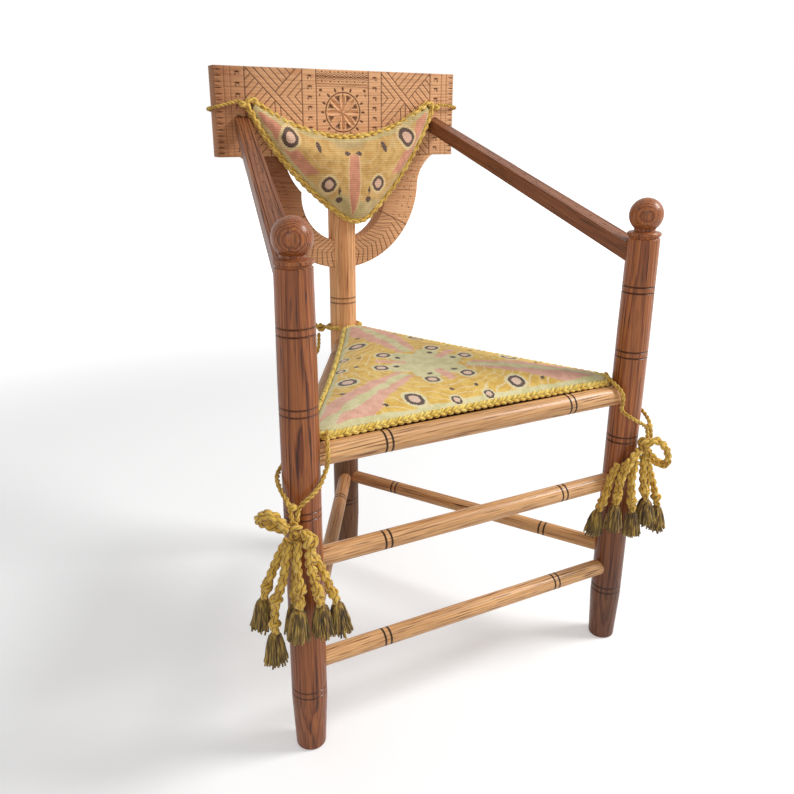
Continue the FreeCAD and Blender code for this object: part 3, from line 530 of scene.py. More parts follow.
def tassel_tree(yarn, binding):
    # A head bound with yarn over a skirt of loose ends that spread and wave.
    tree = bpy.data.node_groups.new("yarn tassel", "GeometryNodeTree")
    face = tree.interface
    face.new_socket(name="Geometry", in_out="INPUT", socket_type="NodeSocketGeometry")
    for label, kind, value in (("Strands", "Int", 78), ("Length", "Float", 0.04), ("Top Radius", "Float", 0.004),
                               ("Bottom Radius", "Float", 0.011), ("Yarn Radius", "Float", 0.0012),
                               ("Seed", "Int", 1)):
        made = face.new_socket(name=label, in_out="INPUT", socket_type="NodeSocket" + kind)
        made.default_value = value
    face.new_socket(name="Geometry", in_out="OUTPUT", socket_type="NodeSocketGeometry")
    g = Graph(tree)
    given = g.node("NodeGroupInput").outputs
    points = g.node("GeometryNodePoints", {"Count": given["Strands"]}).outputs[0]
    share = g.math("DIVIDE", g.node("GeometryNodeInputIndex").outputs[0], given["Strands"])
    marked = g.node("GeometryNodeStoreNamedAttribute", {"Geometry": points, "Name": "strand", "Value": share},
                    data_type="FLOAT", domain="POINT").outputs[0]
    line = g.node("GeometryNodeCurvePrimitiveLine", {"Start": (0, 0, 0), "End": (0, 0, -1)}).outputs[0]
    line = g.node("GeometryNodeResampleCurve", {"Curve": line, "Count": 8}).outputs[0]
    placed = g.node("GeometryNodeInstanceOnPoints", {"Points": marked, "Instance": line}).outputs[0]
    strands = g.node("GeometryNodeRealizeInstances", {"Geometry": placed}).outputs[0]
    mark = g.node("GeometryNodeInputNamedAttribute", {"Name": "strand"}, data_type="FLOAT").outputs[0]
    down = g.node("GeometryNodeSplineParameter").outputs["Factor"]
    number = g.math("ROUND", g.math("MULTIPLY", mark, given["Strands"]))
    angle = g.math("MULTIPLY", number, math.pi * (3 - math.sqrt(5)))
    chance = g.node("FunctionNodeRandomValue", {"ID": number, "Seed": given["Seed"]}, data_type="FLOAT")
    spread = g.math("SQRT", g.math("ADD", mark, 0.01))
    opened = g.math("POWER", down, 0.5)
    width = g.math("ADD", given["Top Radius"],
                   g.math("MULTIPLY", opened, g.math("SUBTRACT", given["Bottom Radius"], given["Top Radius"])))
    far = g.math("MULTIPLY", g.math("SUBTRACT", width, given["Yarn Radius"]), spread)
    own_length = g.math("MULTIPLY", given["Length"], g.span(chance.outputs[1], 0.0, 1.0, 0.86, 1.0, False))
    fall = g.math("MULTIPLY", g.math("MULTIPLY", down, own_length), -1.0)
    sample = g.join(g.math("MULTIPLY", number, 3.7), g.math("MULTIPLY", down, 2.2), given["Seed"])
    waver = g.node("ShaderNodeTexNoise", {"Vector": sample, "Scale": 1.0, "Detail": 1.0}).outputs[1]
    waver = g.vector("SUBTRACT", waver, (0.5, 0.5, 0.5))
    waver = g.node("ShaderNodeVectorMath", {0: waver, "Scale": g.math("MULTIPLY", down, 0.006)},
                   operation="SCALE").outputs[0]
    place = g.vector("ADD", g.join(g.math("MULTIPLY", g.math("COSINE", angle), far),
                                   g.math("MULTIPLY", g.math("SINE", angle), far), fall), waver)
    strands = g.node("GeometryNodeSetPosition", {"Geometry": strands, "Position": place}).outputs[0]
    ring = g.node("GeometryNodeCurvePrimitiveCircle", {"Resolution": 5, "Radius": given["Yarn Radius"]}).outputs[0]
    skirt = g.node("GeometryNodeCurveToMesh", {"Curve": strands, "Profile Curve": ring,
                                                "Fill Caps": True}).outputs[0]
    skirt = g.node("GeometryNodeSetMaterial", {"Geometry": skirt, "Material": yarn}).outputs[0]
    wrap = g.node("GeometryNodeCurveSpiral", {"Resolution": 14, "Rotations": 4.0, "Height": -0.0062,
                                              "Start Radius": given["Top Radius"],
                                              "End Radius": given["Top Radius"]}).outputs[0]
    wrap_ring = g.node("GeometryNodeCurvePrimitiveCircle", {"Resolution": 6, "Radius": 0.00105}).outputs[0]
    wrap = g.node("GeometryNodeCurveToMesh", {"Curve": wrap, "Profile Curve": wrap_ring,
                                               "Fill Caps": True}).outputs[0]
    wrap = g.node("GeometryNodeTransform", {"Geometry": wrap, "Translation": (0, 0, -0.0012)}).outputs[0]
    wrap = g.node("GeometryNodeSetMaterial", {"Geometry": wrap, "Material": binding}).outputs[0]
    both = g.node("GeometryNodeJoinGeometry")
    g.feed(both.inputs[0], wrap)
    g.feed(both.inputs[0], skirt)
    whole = g.node("GeometryNodeRealizeInstances", {"Geometry": both.outputs[0]}).outputs[0]
    whole = g.node("GeometryNodeSetShadeSmooth", {"Geometry": whole}).outputs[0]
    out = g.node("NodeGroupOutput").inputs
    g.feed(out[0], whole)
    return tree


def baked(carrier):
    # The evaluated object as a plain mesh, its modifiers gone.
    graph = bpy.context.evaluated_depsgraph_get()
    mesh = bpy.data.meshes.new_from_object(carrier.evaluated_get(graph), preserve_all_data_layers=True,
                                          depsgraph=graph)
    carrier.modifiers.clear()
    carrier.data = mesh
    return carrier


def with_tree(carrier, tree, **values):
    modifier = carrier.modifiers.new("tree", "NODES")
    modifier.node_group = tree
    named = {item.name: item.identifier for item in tree.interface.items_tree if item.in_out == "INPUT"}
    for label, value in values.items():
        modifier[named[label.replace("_", " ")]] = value
    return baked(carrier)


def tassel(name, tree, end, before, height, radius, seed, node):
    # Hangs from a plait's end, a little along the plait's own direction.
    drop = (Vector(end) - Vector(before)).normalized()
    lean = (drop + Vector((0, 0, -2.0))).normalized()
    base = Vector(end) + drop * (0.3 + 4.0 * math.sin(drop.angle(lean)))
    made = mesh_object(name, [(0, 0, 0)], [])
    with_tree(made, tree, Length=(height + 1.0) * MM, Bottom_Radius=(radius + 4.6) * MM, Seed=seed)
    turn = Vector((0, 0, -1)).rotation_difference(lean).to_matrix().to_4x4()
    made.data.transform(Matrix.Translation(base * MM) @ turn)
    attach(made, "root")
    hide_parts(node)
    return made


# ---------------------------------------------------------------- the cords' routes

# Each route's points are those of the part's source, in millimetres.
TIE_FRONT = [(-215, -212, 432), (-220, -223, 424), (-224, -234, 414), (-225, -234, 400), (-227, -229, 387),
             (-237, -240, 378), (-254, -245, 368), (-266, -244, 360), (-268, -245, 351), (-269, -245, 343)]
TIE_BACK = [(-235, -184, 428), (-244, -179, 423), (-249, -177, 412), (-251, -180, 399), (-262, -187, 389),
            (-277, -203, 384), (-279, -223, 375), (-276, -239, 366), (-275, -244, 355), (-275, -246, 344)]
LEFT_BOW = [(-282, -246, 336), (-288, -250, 348), (-296, -247, 358), (-304, -237, 358), (-307, -225, 348),
            (-301, -215, 336), (-290, -213, 328), (-280, -221, 326), (-277, -233, 330)]
LEFT_PLAITS = [
    ([(-278, -237, 317), (-284, -233, 305), (-291, -231, 290), (-297, -229, 274), (-303, -226, 258),
      (-306, -224, 243)], 80.6),
    ([(-281, -251, 320), (-287, -252, 305), (-289, -253, 288), (-292, -250, 270), (-298, -246, 253),
      (-300, -244, 236), (-301, -243, 219), (-301, -243, 205)], 118.3),
    ([(-270, -245, 316), (-272, -243, 300), (-273, -242, 284), (-273, -242, 267), (-274, -241, 250),
      (-274, -241, 235)], 81.3),
    ([(-273, -259, 324), (-277, -262, 309), (-277, -262, 292), (-275, -263, 274), (-275, -263, 258),
      (-277, -262, 242)], 82.9),
    ([(-264, -256, 335), (-262, -265, 329), (-262, -267, 317), (-263, -265, 304), (-261, -264, 289),
      (-257, -266, 273), (-255, -268, 257), (-252, -268, 243)], 97.9),
    ([(-261, -249, 321), (-257, -252, 309), (-251, -255, 295), (-245, -260, 281), (-241, -263, 266),
      (-236, -265, 252), (-232, -267, 240)], 88.1),
]
RIGHT_BOW = [(262, -250, 337), (269, -256, 344), (278, -261, 342), (287, -266, 331), (293, -267, 316),
             (298, -261, 302), (296, -248, 298), (290, -238, 306), (281, -236, 318), (272, -239, 326)]
RIGHT_PLAITS = [
    ([(252, -248, 328), (242, -251, 322), (231, -252, 313), (223, -250, 299), (221, -247, 281),
      (223, -246, 265), (221, -245, 249)], 92.6),
    ([(248, -248, 312), (242, -251, 299), (239, -252, 285), (241, -253, 269), (243, -254, 252),
      (246, -254, 237)], 77.4),
    ([(259, -250, 318), (261, -252, 303), (260, -253, 287), (262, -256, 270), (266, -259, 253)], 66.3),
    ([(273, -245, 311), (277, -246, 298), (279, -245, 283), (280, -243, 266), (283, -241, 248),
      (284, -240, 242)], 70.4),
    ([(225, -238, 307), (218, -235, 293), (214, -234, 278), (211, -234, 263), (207, -232, 248),
      (204, -229, 237)], 74.1),
    ([(290, -232, 298), (293, -234, 284), (296, -239, 270), (297, -244, 256), (299, -248, 243),
      (300, -250, 231)], 70.4),
]
LEFT_KNOTS = [((-272, -243, 361), 5), ((-272, -248, 336), 9.5), ((-272, -248, 326), 9.5)]
RIGHT_KNOTS = [((272, -243, 361), 5), ((262, -247, 337), 10), ((262, -247, 328), 9.5), ((272, -248, 317), 6.5),
               ((232, -247, 309), 8)]
REAR_KNOT = [((-32, 239, 432), 9.4)]
BACK_KNOT = [((-5, 230.5, 778), 3.2), ((0, 230.5, 781), 3.2), ((0, 230.5, 775), 3.2), ((5, 230.5, 778), 3.2)]
REAR_TIE = [(-17, 190, 440), (-26, 200, 439), (-30, 213, 437), (-24, 230, 436), (-8, 242, 436),
            (13, 241, 437), (27, 229, 438), (30, 214, 439), (26, 200, 440), (17, 190, 441)]
REAR_BOW = [(-36, 240, 432), (-43, 244, 441), (-55, 246, 442), (-64, 246, 433), (-67, 245, 418),
            (-65, 244, 402), (-61, 243, 387), (-50, 242, 381), (-39, 243, 385), (-35, 244, 397),
            (-34, 245, 410), (-34, 245, 420)]
BACK_TIE_LEFT = [(-168, 196, 799), (-182, 196, 796), (-200, 195, 791), (-210, 203, 789),
                 (-210, 225, 787), (-200, 234, 785), (-170, 231, 781), (-110, 230, 778),
                 (-52, 230, 777), (-8, 230, 778)]
BACK_TIE_RIGHT = [(168, 196, 799), (182, 196, 798), (200, 195, 796), (210, 203, 794),
                  (210, 225, 792), (200, 234, 789), (170, 231, 785), (112, 230, 780),
                  (52, 230, 778), (8, 230, 778)]


def mirror_x(points):
    return [(-x, y, z) for x, y, z in points]


def cord(node, points, diameter, kind, wool):
    line = route_line(points)
    if kind == "plait":
        strands, share = plaited(line, diameter * MM, 3.2 * diameter * MM, swing=0.34, cross=0.20), 0.285
    elif kind == "band":
        strands, share = plaited(line, diameter * MM, 2.6 * diameter * MM), 0.24
    else:
        strands, share = twisted(line, diameter * MM, 2.3 * diameter * MM), 0.27
    made = tubes("cord_" + node, strands, [share * diameter * MM] * len(strands))
    dress(made, node, wool)
    return made


# Where each plait is tied in an overhand knot, as shares of its length, and how large.
BEADS = {"left": [((0.80, 7.2),), ((0.62, 7.4), (0.90, 7.0)), ((0.84, 7.0),), ((0.70, 8.0), (0.93, 6.6)),
                  ((0.13, 9.2), (0.80, 7.6)), ((0.86, 6.8),)],
         "right": [((0.84, 7.2),), ((0.80, 7.4),), ((0.78, 7.4),), ((0.84, 7.2),), ((0.82, 7.0),), ((0.82, 7.4),)]}


def beads_on(points, name, wool, places, seed):
    line = route_line(points) / MM
    along = arc_lengths(line)
    made = []
    for k, (share, radius) in enumerate(places):
        centre = [np.interp(share * along[-1], along, line[:, i]) for i in range(3)]
        made.append(knotted("bead_%s_%d" % (name, k + 1), [(centre, radius + 1.2)], wool, None, 3.1,
                            seed + 0.7 * k))
    return made


def make_cords(wool, tassel_yarn):
    tree = tassel_tree(tassel_yarn, wool)
    left = knotted("knots_left", LEFT_KNOTS, wool, "left_knots", 2.5)
    right = knotted("knots_right", RIGHT_KNOTS, wool, "right_knots", 2.5)
    rear = knotted("knot_rear", REAR_KNOT, wool, "rear_knot", 2.5)
    behind = knotted("knot_back", BACK_KNOT, wool, "back_tie_knot", 1.3)
    for side, front, back in (("left", TIE_FRONT, TIE_BACK), ("right", mirror_x(TIE_FRONT), mirror_x(TIE_BACK))):
        cord(side + "_tie_front", front, 6.0, "twist", wool)
        cord(side + "_tie_back", back, 6.0, "twist", wool)
    cord("left_bow", LEFT_BOW, 11.0, "plait", wool)
    cord("right_bow", RIGHT_BOW, 11.0, "plait", wool)
    for side, plaits, height, radius in (("left", LEFT_PLAITS, 42.0, 11.0), ("right", RIGHT_PLAITS, 40.0, 10.0)):
        for n, (points, length) in enumerate(plaits, 1):
            name = "%s_%d" % (side, n)
            hung = tassel("tassel_" + name, tree, points[-1], points[-2], height, radius, 10 * n + len(side),
                          side + "_tassels")
            hung = [hung] + beads_on(points, name, wool, BEADS[side][n - 1], n)
            cord("%s_plait_%d" % (side, n), points, 11.0, "plait", wool)
    cord("rear_tie", REAR_TIE, 8.0, "band", wool)
    cord("rear_bow", REAR_BOW, 8.0, "band", wool)
    for side, points, length in (("left", BACK_TIE_LEFT, 271.4), ("right", BACK_TIE_RIGHT, 270.9)):
        x, y, z = points[0]
        start = knotted("corner_knot_" + side, [((x * 0.985, y - 3.0, z - 5.0), 6.6)], wool, None, 2.4)
        cord("back_tie_" + side, points, 5.0, "twist", wool)


# ---------------------------------------------------------------- cushions

def arc_between(centre, radius, first, last, steps):
    # Points on a circle from one to the other the short way.
    a = math.atan2(first[1] - centre[1], first[0] - centre[0])
    b = math.atan2(last[1] - centre[1], last[0] - centre[0])
    turn = (b - a + math.pi) % (2 * math.pi) - math.pi
    return [(centre[0] + radius * math.cos(a + turn * t), centre[1] + radius * math.sin(a + turn * t))
            for t in np.linspace(0, 1, steps)]


def circle_meet(a, ra, b, rb, side):
    gap = b - a
    along = (ra ** 2 - rb ** 2 + gap.dot(gap)) / (2 * gap.length)
    off = math.sqrt(ra ** 2 - along ** 2)
    way = gap.normalized()
    return a + way * along + Vector((-way.y, way.x)) * off * side


def ring_outline(corners, bows):
    """The piping's closed line on a plane: corner arcs joined by long arcs, as in the source."""
    joins = []
    count = len(corners)
    for i in range(count):
        (a, ra), (b, rb) = corners[i], corners[(i + 1) % count]
        a, b, bow = Vector(a), Vector(b), bows[i]
        sign = -1 if bow > 0 else 1
        big = abs(bow)
        centre = circle_meet(a, big - sign * ra, b, big - sign * rb, sign)
        first = a + (a - centre).normalized() * ra * sign
        last = b + (b - centre).normalized() * rb * sign
        joins.append((centre, big, first, last))
    line = []
    for i in range(count):
        centre, big, first, last = joins[i]
        line += arc_between(centre, big, first, last, 40)[:-1]
        corner, radius = corners[(i + 1) % count]
        line += arc_between(corner, radius, last, joins[(i + 1) % count][2], 14)[:-1]
    return np.array(line)


def seat_ring():
    # The triangle of the three posts' centres, drawn in, on the cushion's tilted plane.
    reach = SEAT_INSET + SEAT_CORNER_RADIUS
    left, right, rear = Vector((-POST_X, FRONT_Y)), Vector((POST_X, FRONT_Y)), Vector((0, REAR_Y))
    sides = [(right - left).length, (rear - right).length, (left - rear).length]
    middle = (left * sides[1] + right * sides[2] + rear * sides[0]) / sum(sides)
    area = (right - left).cross(rear - left) / 2
    inner = 2 * area / sum(sides)
    corners = [(tuple(middle + (c - middle) * (1 - reach / inner)), SEAT_CORNER_RADIUS)
               for c in (left, right, rear)]
    flat = ring_outline(corners, [SEAT_SIDE_BOW] * 3)
    out = flat[:, 1] - SEAT_PIVOT
    return np.column_stack([flat[:, 0], SEAT_PIVOT + out * math.cos(SEAT_TILT),
                            SEAT_PIPING_HEIGHT + out * math.sin(SEAT_TILT)]) * MM


def back_ring():
    corners = [((-BACK_CORNER_X, BACK_CORNER), BACK_CORNER_RADIUS), (BACK_TIP, BACK_TIP_RADIUS),
               ((BACK_CORNER_X, BACK_CORNER), BACK_CORNER_RADIUS)]
    flat = ring_outline(corners, [BACK_SIDE_BOW, BACK_SIDE_BOW, BACK_TOP_BOW])
    drop = flat[:, 1] - BACK_CORNER
    return np.column_stack([flat[:, 0], BACK_PLANE + drop * math.sin(BACK_LEAN),
                            BACK_CORNER + drop * math.cos(BACK_LEAN)]) * MM


def merged_copy(node, name):
    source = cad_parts[node]
    made = bpy.data.objects.new(name, source.data.copy())
    bpy.context.collection.objects.link(made)
    mesh = bmesh.new()
    mesh.from_mesh(made.data)
    bmesh.ops.remove_doubles(mesh, verts=mesh.verts, dist=0.00002)
    bmesh.ops.recalc_face_normals(mesh, faces=mesh.faces)
    mesh.to_mesh(made.data)
    mesh.free()
    return made


def remeshed(made, voxel):
    modifier = made.modifiers.new("remesh", "REMESH")
    modifier.mode = "VOXEL"
    modifier.voxel_size = voxel
    return baked(made)


def coordinates(made):
    flat = np.empty(len(made.data.vertices) * 3)
    made.data.vertices.foreach_get("co", flat)
    return flat.reshape(-1, 3)


def set_coordinates(made, points):
    made.data.vertices.foreach_set("co", np.ascontiguousarray(points).ravel())
    made.data.update()


def swelled(made, held, cap, pressure):
    # Cloth filled with stuffing: it swells between the held points, at most cap far.
    before = coordinates(made)
    group = made.vertex_groups.new(name="held")
    group.add([int(i) for i in np.flatnonzero(held)], 1.0, "REPLACE")
    modifier = made.modifiers.new("cloth", "CLOTH")
    settings = modifier.settings
    settings.use_pressure = True
    settings.uniform_pressure_force = pressure
    settings.vertex_group_mass = "held"
    settings.quality = 6
    settings.effector_weights.gravity = 0
    scene = bpy.context.scene
    for step in range(1, 21):
        scene.frame_set(step)
    graph = bpy.context.evaluated_depsgraph_get()
    after = made.evaluated_get(graph).to_mesh()
    flat = np.empty(len(after.vertices) * 3)
    after.vertices.foreach_get("co", flat)
    moved = flat.reshape(-1, 3) - before
    reach = np.linalg.norm(moved, axis=1)
    moved *= (np.tanh(reach / cap) * cap / np.maximum(reach, 1e-9))[:, None]
    made.modifiers.remove(modifier)
    made.vertex_groups.remove(group)
    scene.frame_set(1)
    set_coordinates(made, before + moved)


def subdivided(made):
    modifier = made.modifiers.new("smooth", "SMOOTH")
    modifier.iterations = 4
    modifier = made.modifiers.new("finer", "SUBSURF")
    modifier.levels = modifier.render_levels = 1
    return baked(made)


def ring_distances(points, ring, axes):
    """Each point's distance from the piping's line, and the line's nearest point, on one plane."""
    line = evenly(ring, RING_STEP, True)
    tree = kdtree.KDTree(len(line))
    for i, place in enumerate(line):
        tree.insert((place[axes[0]], place[axes[1]], 0), i)
    tree.balance()
    found = [tree.find((x, y, 0)) for x, y in points[:, axes]]
    return np.array([f[2] for f in found]), np.array([f[1] for f in found]), line[:, axes]


def drawn_to(points, ring, axes, reach):
    """Stretches the cover near the piping, so that its edge lies on the piping's line."""
    far, nearest, line = ring_distances(points, ring, axes)
    least = np.full(len(line), 1.0)
    np.minimum.at(least, nearest, far)
    width = 9
    least = np.min([np.roll(least, k) for k in range(-width, width + 1)], axis=0)
    least = np.mean([np.roll(least, k) for k in range(-2 * width, 2 * width + 1)], axis=0)
    gap = np.minimum(least[nearest], 0.7 * reach)
    wanted = np.clip((far - gap) * reach / (reach - gap), EDGE_INSET, None)
    moved = far < reach
    way = points[:, axes] - line[nearest]
    flat = line[nearest] + way * (wanted / np.maximum(far, 1e-6))[:, None]
    for i, axis in enumerate(axes):
        points[:, axis] = np.where(moved, flat[:, i], points[:, axis])
    return points


def mark_distances(made, **rings):
    # Point values that the needlework reads: how far each point is from the piping.
    points = coordinates(made)
    for name, (ring, axes, keep) in rings.items():
        far = ring_distances(points, ring, axes)[0]
        if keep is not None:
            kept = ring[keep(ring)]
            tree = kdtree.KDTree(len(kept))
            for i, place in enumerate(kept):
                tree.insert((place[axes[0]], place[axes[1]], 0), i)
            tree.balance()
            far = np.array([tree.find((x, y, 0))[2] for x, y in points[:, axes]])
        layer = made.data.attributes.new(name, "FLOAT", "POINT")
        layer.data.foreach_set("value", far)


def seat_plane(y):
    return (SEAT_PIPING_HEIGHT + (y / MM - FRONT_Y - 5.0) * math.sin(SEAT_TILT)) * MM


def make_seat_cushion(material):
    made = remeshed(merged_copy("seat_cushion", "needlework_seat"), 0.005)
    points = coordinates(made)
    above = points[:, 2] - seat_plane(points[:, 1])
    swelled(made, above < 0.003, 0.004, 3.0)
    points = coordinates(made)
    ring = seat_ring()
    points = drawn_to(points, ring, [0, 1], 0.030)
    near = np.array([np.hypot(ring[:, 0] - x, ring[:, 1] - y).min() for x, y in points[:, :2]])
    above = points[:, 2] - seat_plane(points[:, 1])
    waves = np.array([noise.noise(Vector((x * 11, y * 11, 3.1))) for x, y in points[:, :2]])
    sag = np.clip(near / 0.05, 0, 1) * np.clip(above / 0.006, 0, 1)
    points[:, 2] += waves * 0.0022 * sag
    set_coordinates(made, points)
    subdivided(made)
    mark_distances(made, rim=(ring, [0, 1], None))
    dress(made, "seat_cushion", material)


def below_top(ring):
    # The ring's two lower sides: everything that lies outside the top bow.
    height = ring[:, 2] / MM - BACK_CORNER
    return height < -44.0 * (1 - (ring[:, 0] / MM / 158.0) ** 2) - 4.0


def make_back_cushion(material):
    made = remeshed(merged_copy("back_cushion", "needlework_back"), 0.0045)
    points = coordinates(made)
    lean = math.tan(math.radians(4.4))
    forward = BACK_FACE * MM - 0.0061 + (points[:, 2] - BACK_CORNER * MM) * lean - points[:, 1]
    swelled(made, forward < 0.003, 0.005, 4.0)
    points = coordinates(made)
    forward = BACK_FACE * MM - 0.0061 + (points[:, 2] - BACK_CORNER * MM) * lean - points[:, 1]
    front = np.clip(forward / 0.012, 0, 1)
    ring = back_ring()
    points = drawn_to(points, ring, [0, 2], 0.026)
    # Near the piping the cover slopes down behind it.
    far = ring_distances(points, ring, [0, 2])[0]
    points[:, 1] += np.clip(forward - (0.0025 + 0.95 * far), 0, None)
    waves = np.array([noise.noise(Vector((x * 16, 0.7, z * 16))) for x, z in points[:, [0, 2]]])
    points[:, 1] += waves * 0.0016 * front
    # Short creases that run down from the hollow top edge.
    for x, depth, width in ((-0.012, 0.0022, 0.006), (0.016, 0.0018, 0.005), (-0.035, 0.0014, 0.005)):
        fade = np.clip((points[:, 2] - 0.745) / 0.03, 0, 1)
        points[:, 1] += depth * np.exp(-((points[:, 0] - x) / width) ** 2) * fade * front
    set_coordinates(made, points)
    subdivided(made)
    mark_distances(made, rim=(ring, [0, 2], None), lower=(ring, [0, 2], below_top))
    dress(made, "back_cushion", material)


def make_pipings(seat_wool, back_wool):
    line = evenly(seat_ring(), 0.002, True)
    strands = plaited(line, 0.009, 0.031, (0, 0, 1), True, swing=0.32, cross=0.17)
    made = tubes("piping_seat", strands, [0.0027] * 3, closed=True)
    dress(made, "seat_cushion_piping", seat_wool)
    line = evenly(back_ring(), 0.002, True)
    strands = plaited(line, 0.011, 0.037, (0, 1, 0), True, swing=0.32, cross=0.17)
    made = tubes("piping_back", strands, [0.0033] * 3, closed=True)
    dress(made, "back_cushion_piping", back_wool)


# ---------------------------------------------------------------- carved boards

def vee(distance, half, deep):
    # A V cut of that half width and depth, by the distance from its middle.
    return deep * np.clip(1 - np.abs(distance) / half, 0, None)


def chip(u, v, half_u, half_v, deep):
    # A boat-shaped chip along u.
    return deep * np.clip(1 - (u / half_u) ** 2 - np.abs(v) / half_v, 0, None)


def pocket(u, v, half_u, tall, deep):
    # A three-cornered chip, wide at v = 0 and pointed at v = tall.
    inside = np.minimum(v / tall, (1 - v / tall) - np.abs(u) / half_u)
    return deep * np.clip(inside * 2.2, 0, 1)


def crest_carving(x, z):
    """Depth of the cuts in the crest board's face in millimetres, and how dark each is painted: stain and painted
    shade in the cuts.
    """
    a = np.abs(x)
    depth = np.zeros_like(x)
    stain_and_shade = np.zeros_like(x)

    def cut(more, where=None, dark=1.0):
        nonlocal depth, stain_and_shade
        more = more if where is None else np.where(where, more, 0)
        depth = np.maximum(depth, more)
        stain_and_shade = np.maximum(stain_and_shade, dark * np.clip(more / 0.85, 0, 1))

    for line in (44.6, 67.8, 158.0):
        cut(vee(a - line, 1.15, 1.1))
    for line in (179.5, 189.0):
        cut(vee(a - line, 1.3, 0.9), dark=0.55)
    for n in range(15):
        level = 841.0 - 8.3 * n
        cut(chip(a - 198.0, z - level, 7.4, 1.5, 1.4), a > 190.5)
        cut(chip(a - 199.5, z - level - 3.0, 4.8, 1.0, 0.8), a > 190.5)
    for first, pitch, column in ((838.5, 15.3, 169.0), (836.5, 14.9, 55.5)):
        for n in range(8):
            level = first - pitch * n
            cut(chip(a - column, z - level, 5.4, 1.9, 1.8))
            cut(pocket(a - column - 2.6, level - 1.2 - z, 2.1, 5.6, 1.5))
            cut(pocket(a - column + 2.6, level - 1.2 - z, 1.5, 3.6, 1.1))
    # The crossed straps and the ruled fields between them.
    u, v = a - 111.0, z - 806.0
    p, q = (u + v) / math.sqrt(2), (v - u) / math.sqrt(2)
    field = (a > 68.5) & (a < 157.3)
    half, pitch = 4.5, 8.8
    over, under = np.where(x > 0, p, q), np.where(x > 0, q, p)
    cut(vee(np.abs(over) - half, 1.05, 1.2), field)
    cut(vee(np.abs(under) - half, 1.05, 1.2), field & (np.abs(over) > half))

    def ruled(distance):
        step = (distance - half) % pitch
        return vee(np.minimum(step, pitch - step), 1.0, 1.1)

    cut(ruled(q), field & (p > half) & (q > half))
    cut(ruled(p), field & (p > half) & (q < -half))
    cut(ruled(np.minimum(-p, q)), field & (p < -half) & (q > half))
    low = field & (p < -half) & (q < -half)
    cut(ruled(np.where(np.abs(u) < 16, u + 3.5, -p)), low)
    # The middle panel: a band of crossing lines over a chip-carved rosette.
    panel = a < 43.2
    for level in (825.5, 821.9):
        cut(vee(z - level, 1.1, 1.0), panel, 0.75)
    fold = 2 * np.abs(((x / 28.0) % 1) * 2 - 1) - 1
    band = panel & (z > 827.5) & (z < 844.5)
    for lift, deep in ((0.0, 1.3), (3.0, 0.9), (-3.0, 0.9)):
        cut(vee(z - 836 - 4.2 * fold - lift, 0.95, deep), band, 0.85)
        cut(vee(z - 836 + 4.2 * fold - lift, 0.95, deep), band, 0.85)
    for n in range(-3, 4):
        cut(chip(x - 14.0 * n, z - 836, 3.4, 1.7, 1.8), band)
        cut(chip(x - 14.0 * n - 7.0, z - 836 - 6.6, 2.0, 1.8, 1.5), band)
        cut(chip(x - 14.0 * n - 7.0, z - 836 + 6.6, 2.0, 1.8, 1.5), band)
    rx, rz = x, z - 784.4
    r, angle = np.hypot(rx, rz), np.arctan2(rx, rz)
    cut(vee(r - 29.3, 1.25, 1.4))
    eighth = math.pi / 4
    off = (angle + eighth / 2) % eighth - eighth / 2
    s, t = r * np.cos(off), r * np.sin(off)
    wide = 4.3 * np.clip(np.sin(math.pi * np.clip((s - 0.5) / 27.5, 0, 1)), 0, None) ** 0.7
    petal = np.clip(1 - np.abs(t) / np.maximum(wide, 0.05), 0, 1) * np.clip(wide / 2.2, 0, 1)
    cut(3.2 * petal, dark=0.12)
    cut(np.where(petal > 0.05, vee(t, 0.7, 1.0), 0), dark=0.5)
    between = (angle % eighth) - eighth / 2
    s2, t2 = r * np.cos(between), r * np.sin(between)
    cut(pocket(t2, 27.0 - s2, 5.6, 13.0, 2.3), r < 27.8, 0.9)
    cut(chip(s2 - 13.6, t2, 2.6, 1.2, 1.2), dark=0.8)
    sixteenth = eighth / 2
    tooth = (angle + sixteenth / 2) % sixteenth - sixteenth / 2
    s3, t3 = r * np.cos(tooth), r * np.sin(tooth)
    cut(chip(s3 - 34.6, t3, 4.2, 2.3, 1.9), panel & (np.abs(rz) < 36.5))
    for cx, cz in ((37.5, 816.5), (37.5, 752.0)):
        cut(chip(a - cx, z - cz, 3.6, 2.8, 1.8))
        cut(chip(z - cz + 7, a - cx - 1.5, 3.0, 1.5, 1.3))
    cut(vee(z - 747.0, 1.1, 1.0), panel)
    return depth, stain_and_shade


def eased(edge, reach, drop):
    # How far a face falls back within reach of its edge.
    t = np.clip(1 - edge / reach, 0, 1)
    return drop * (1 - np.sqrt(np.clip(1 - t * t, 0, 1)))


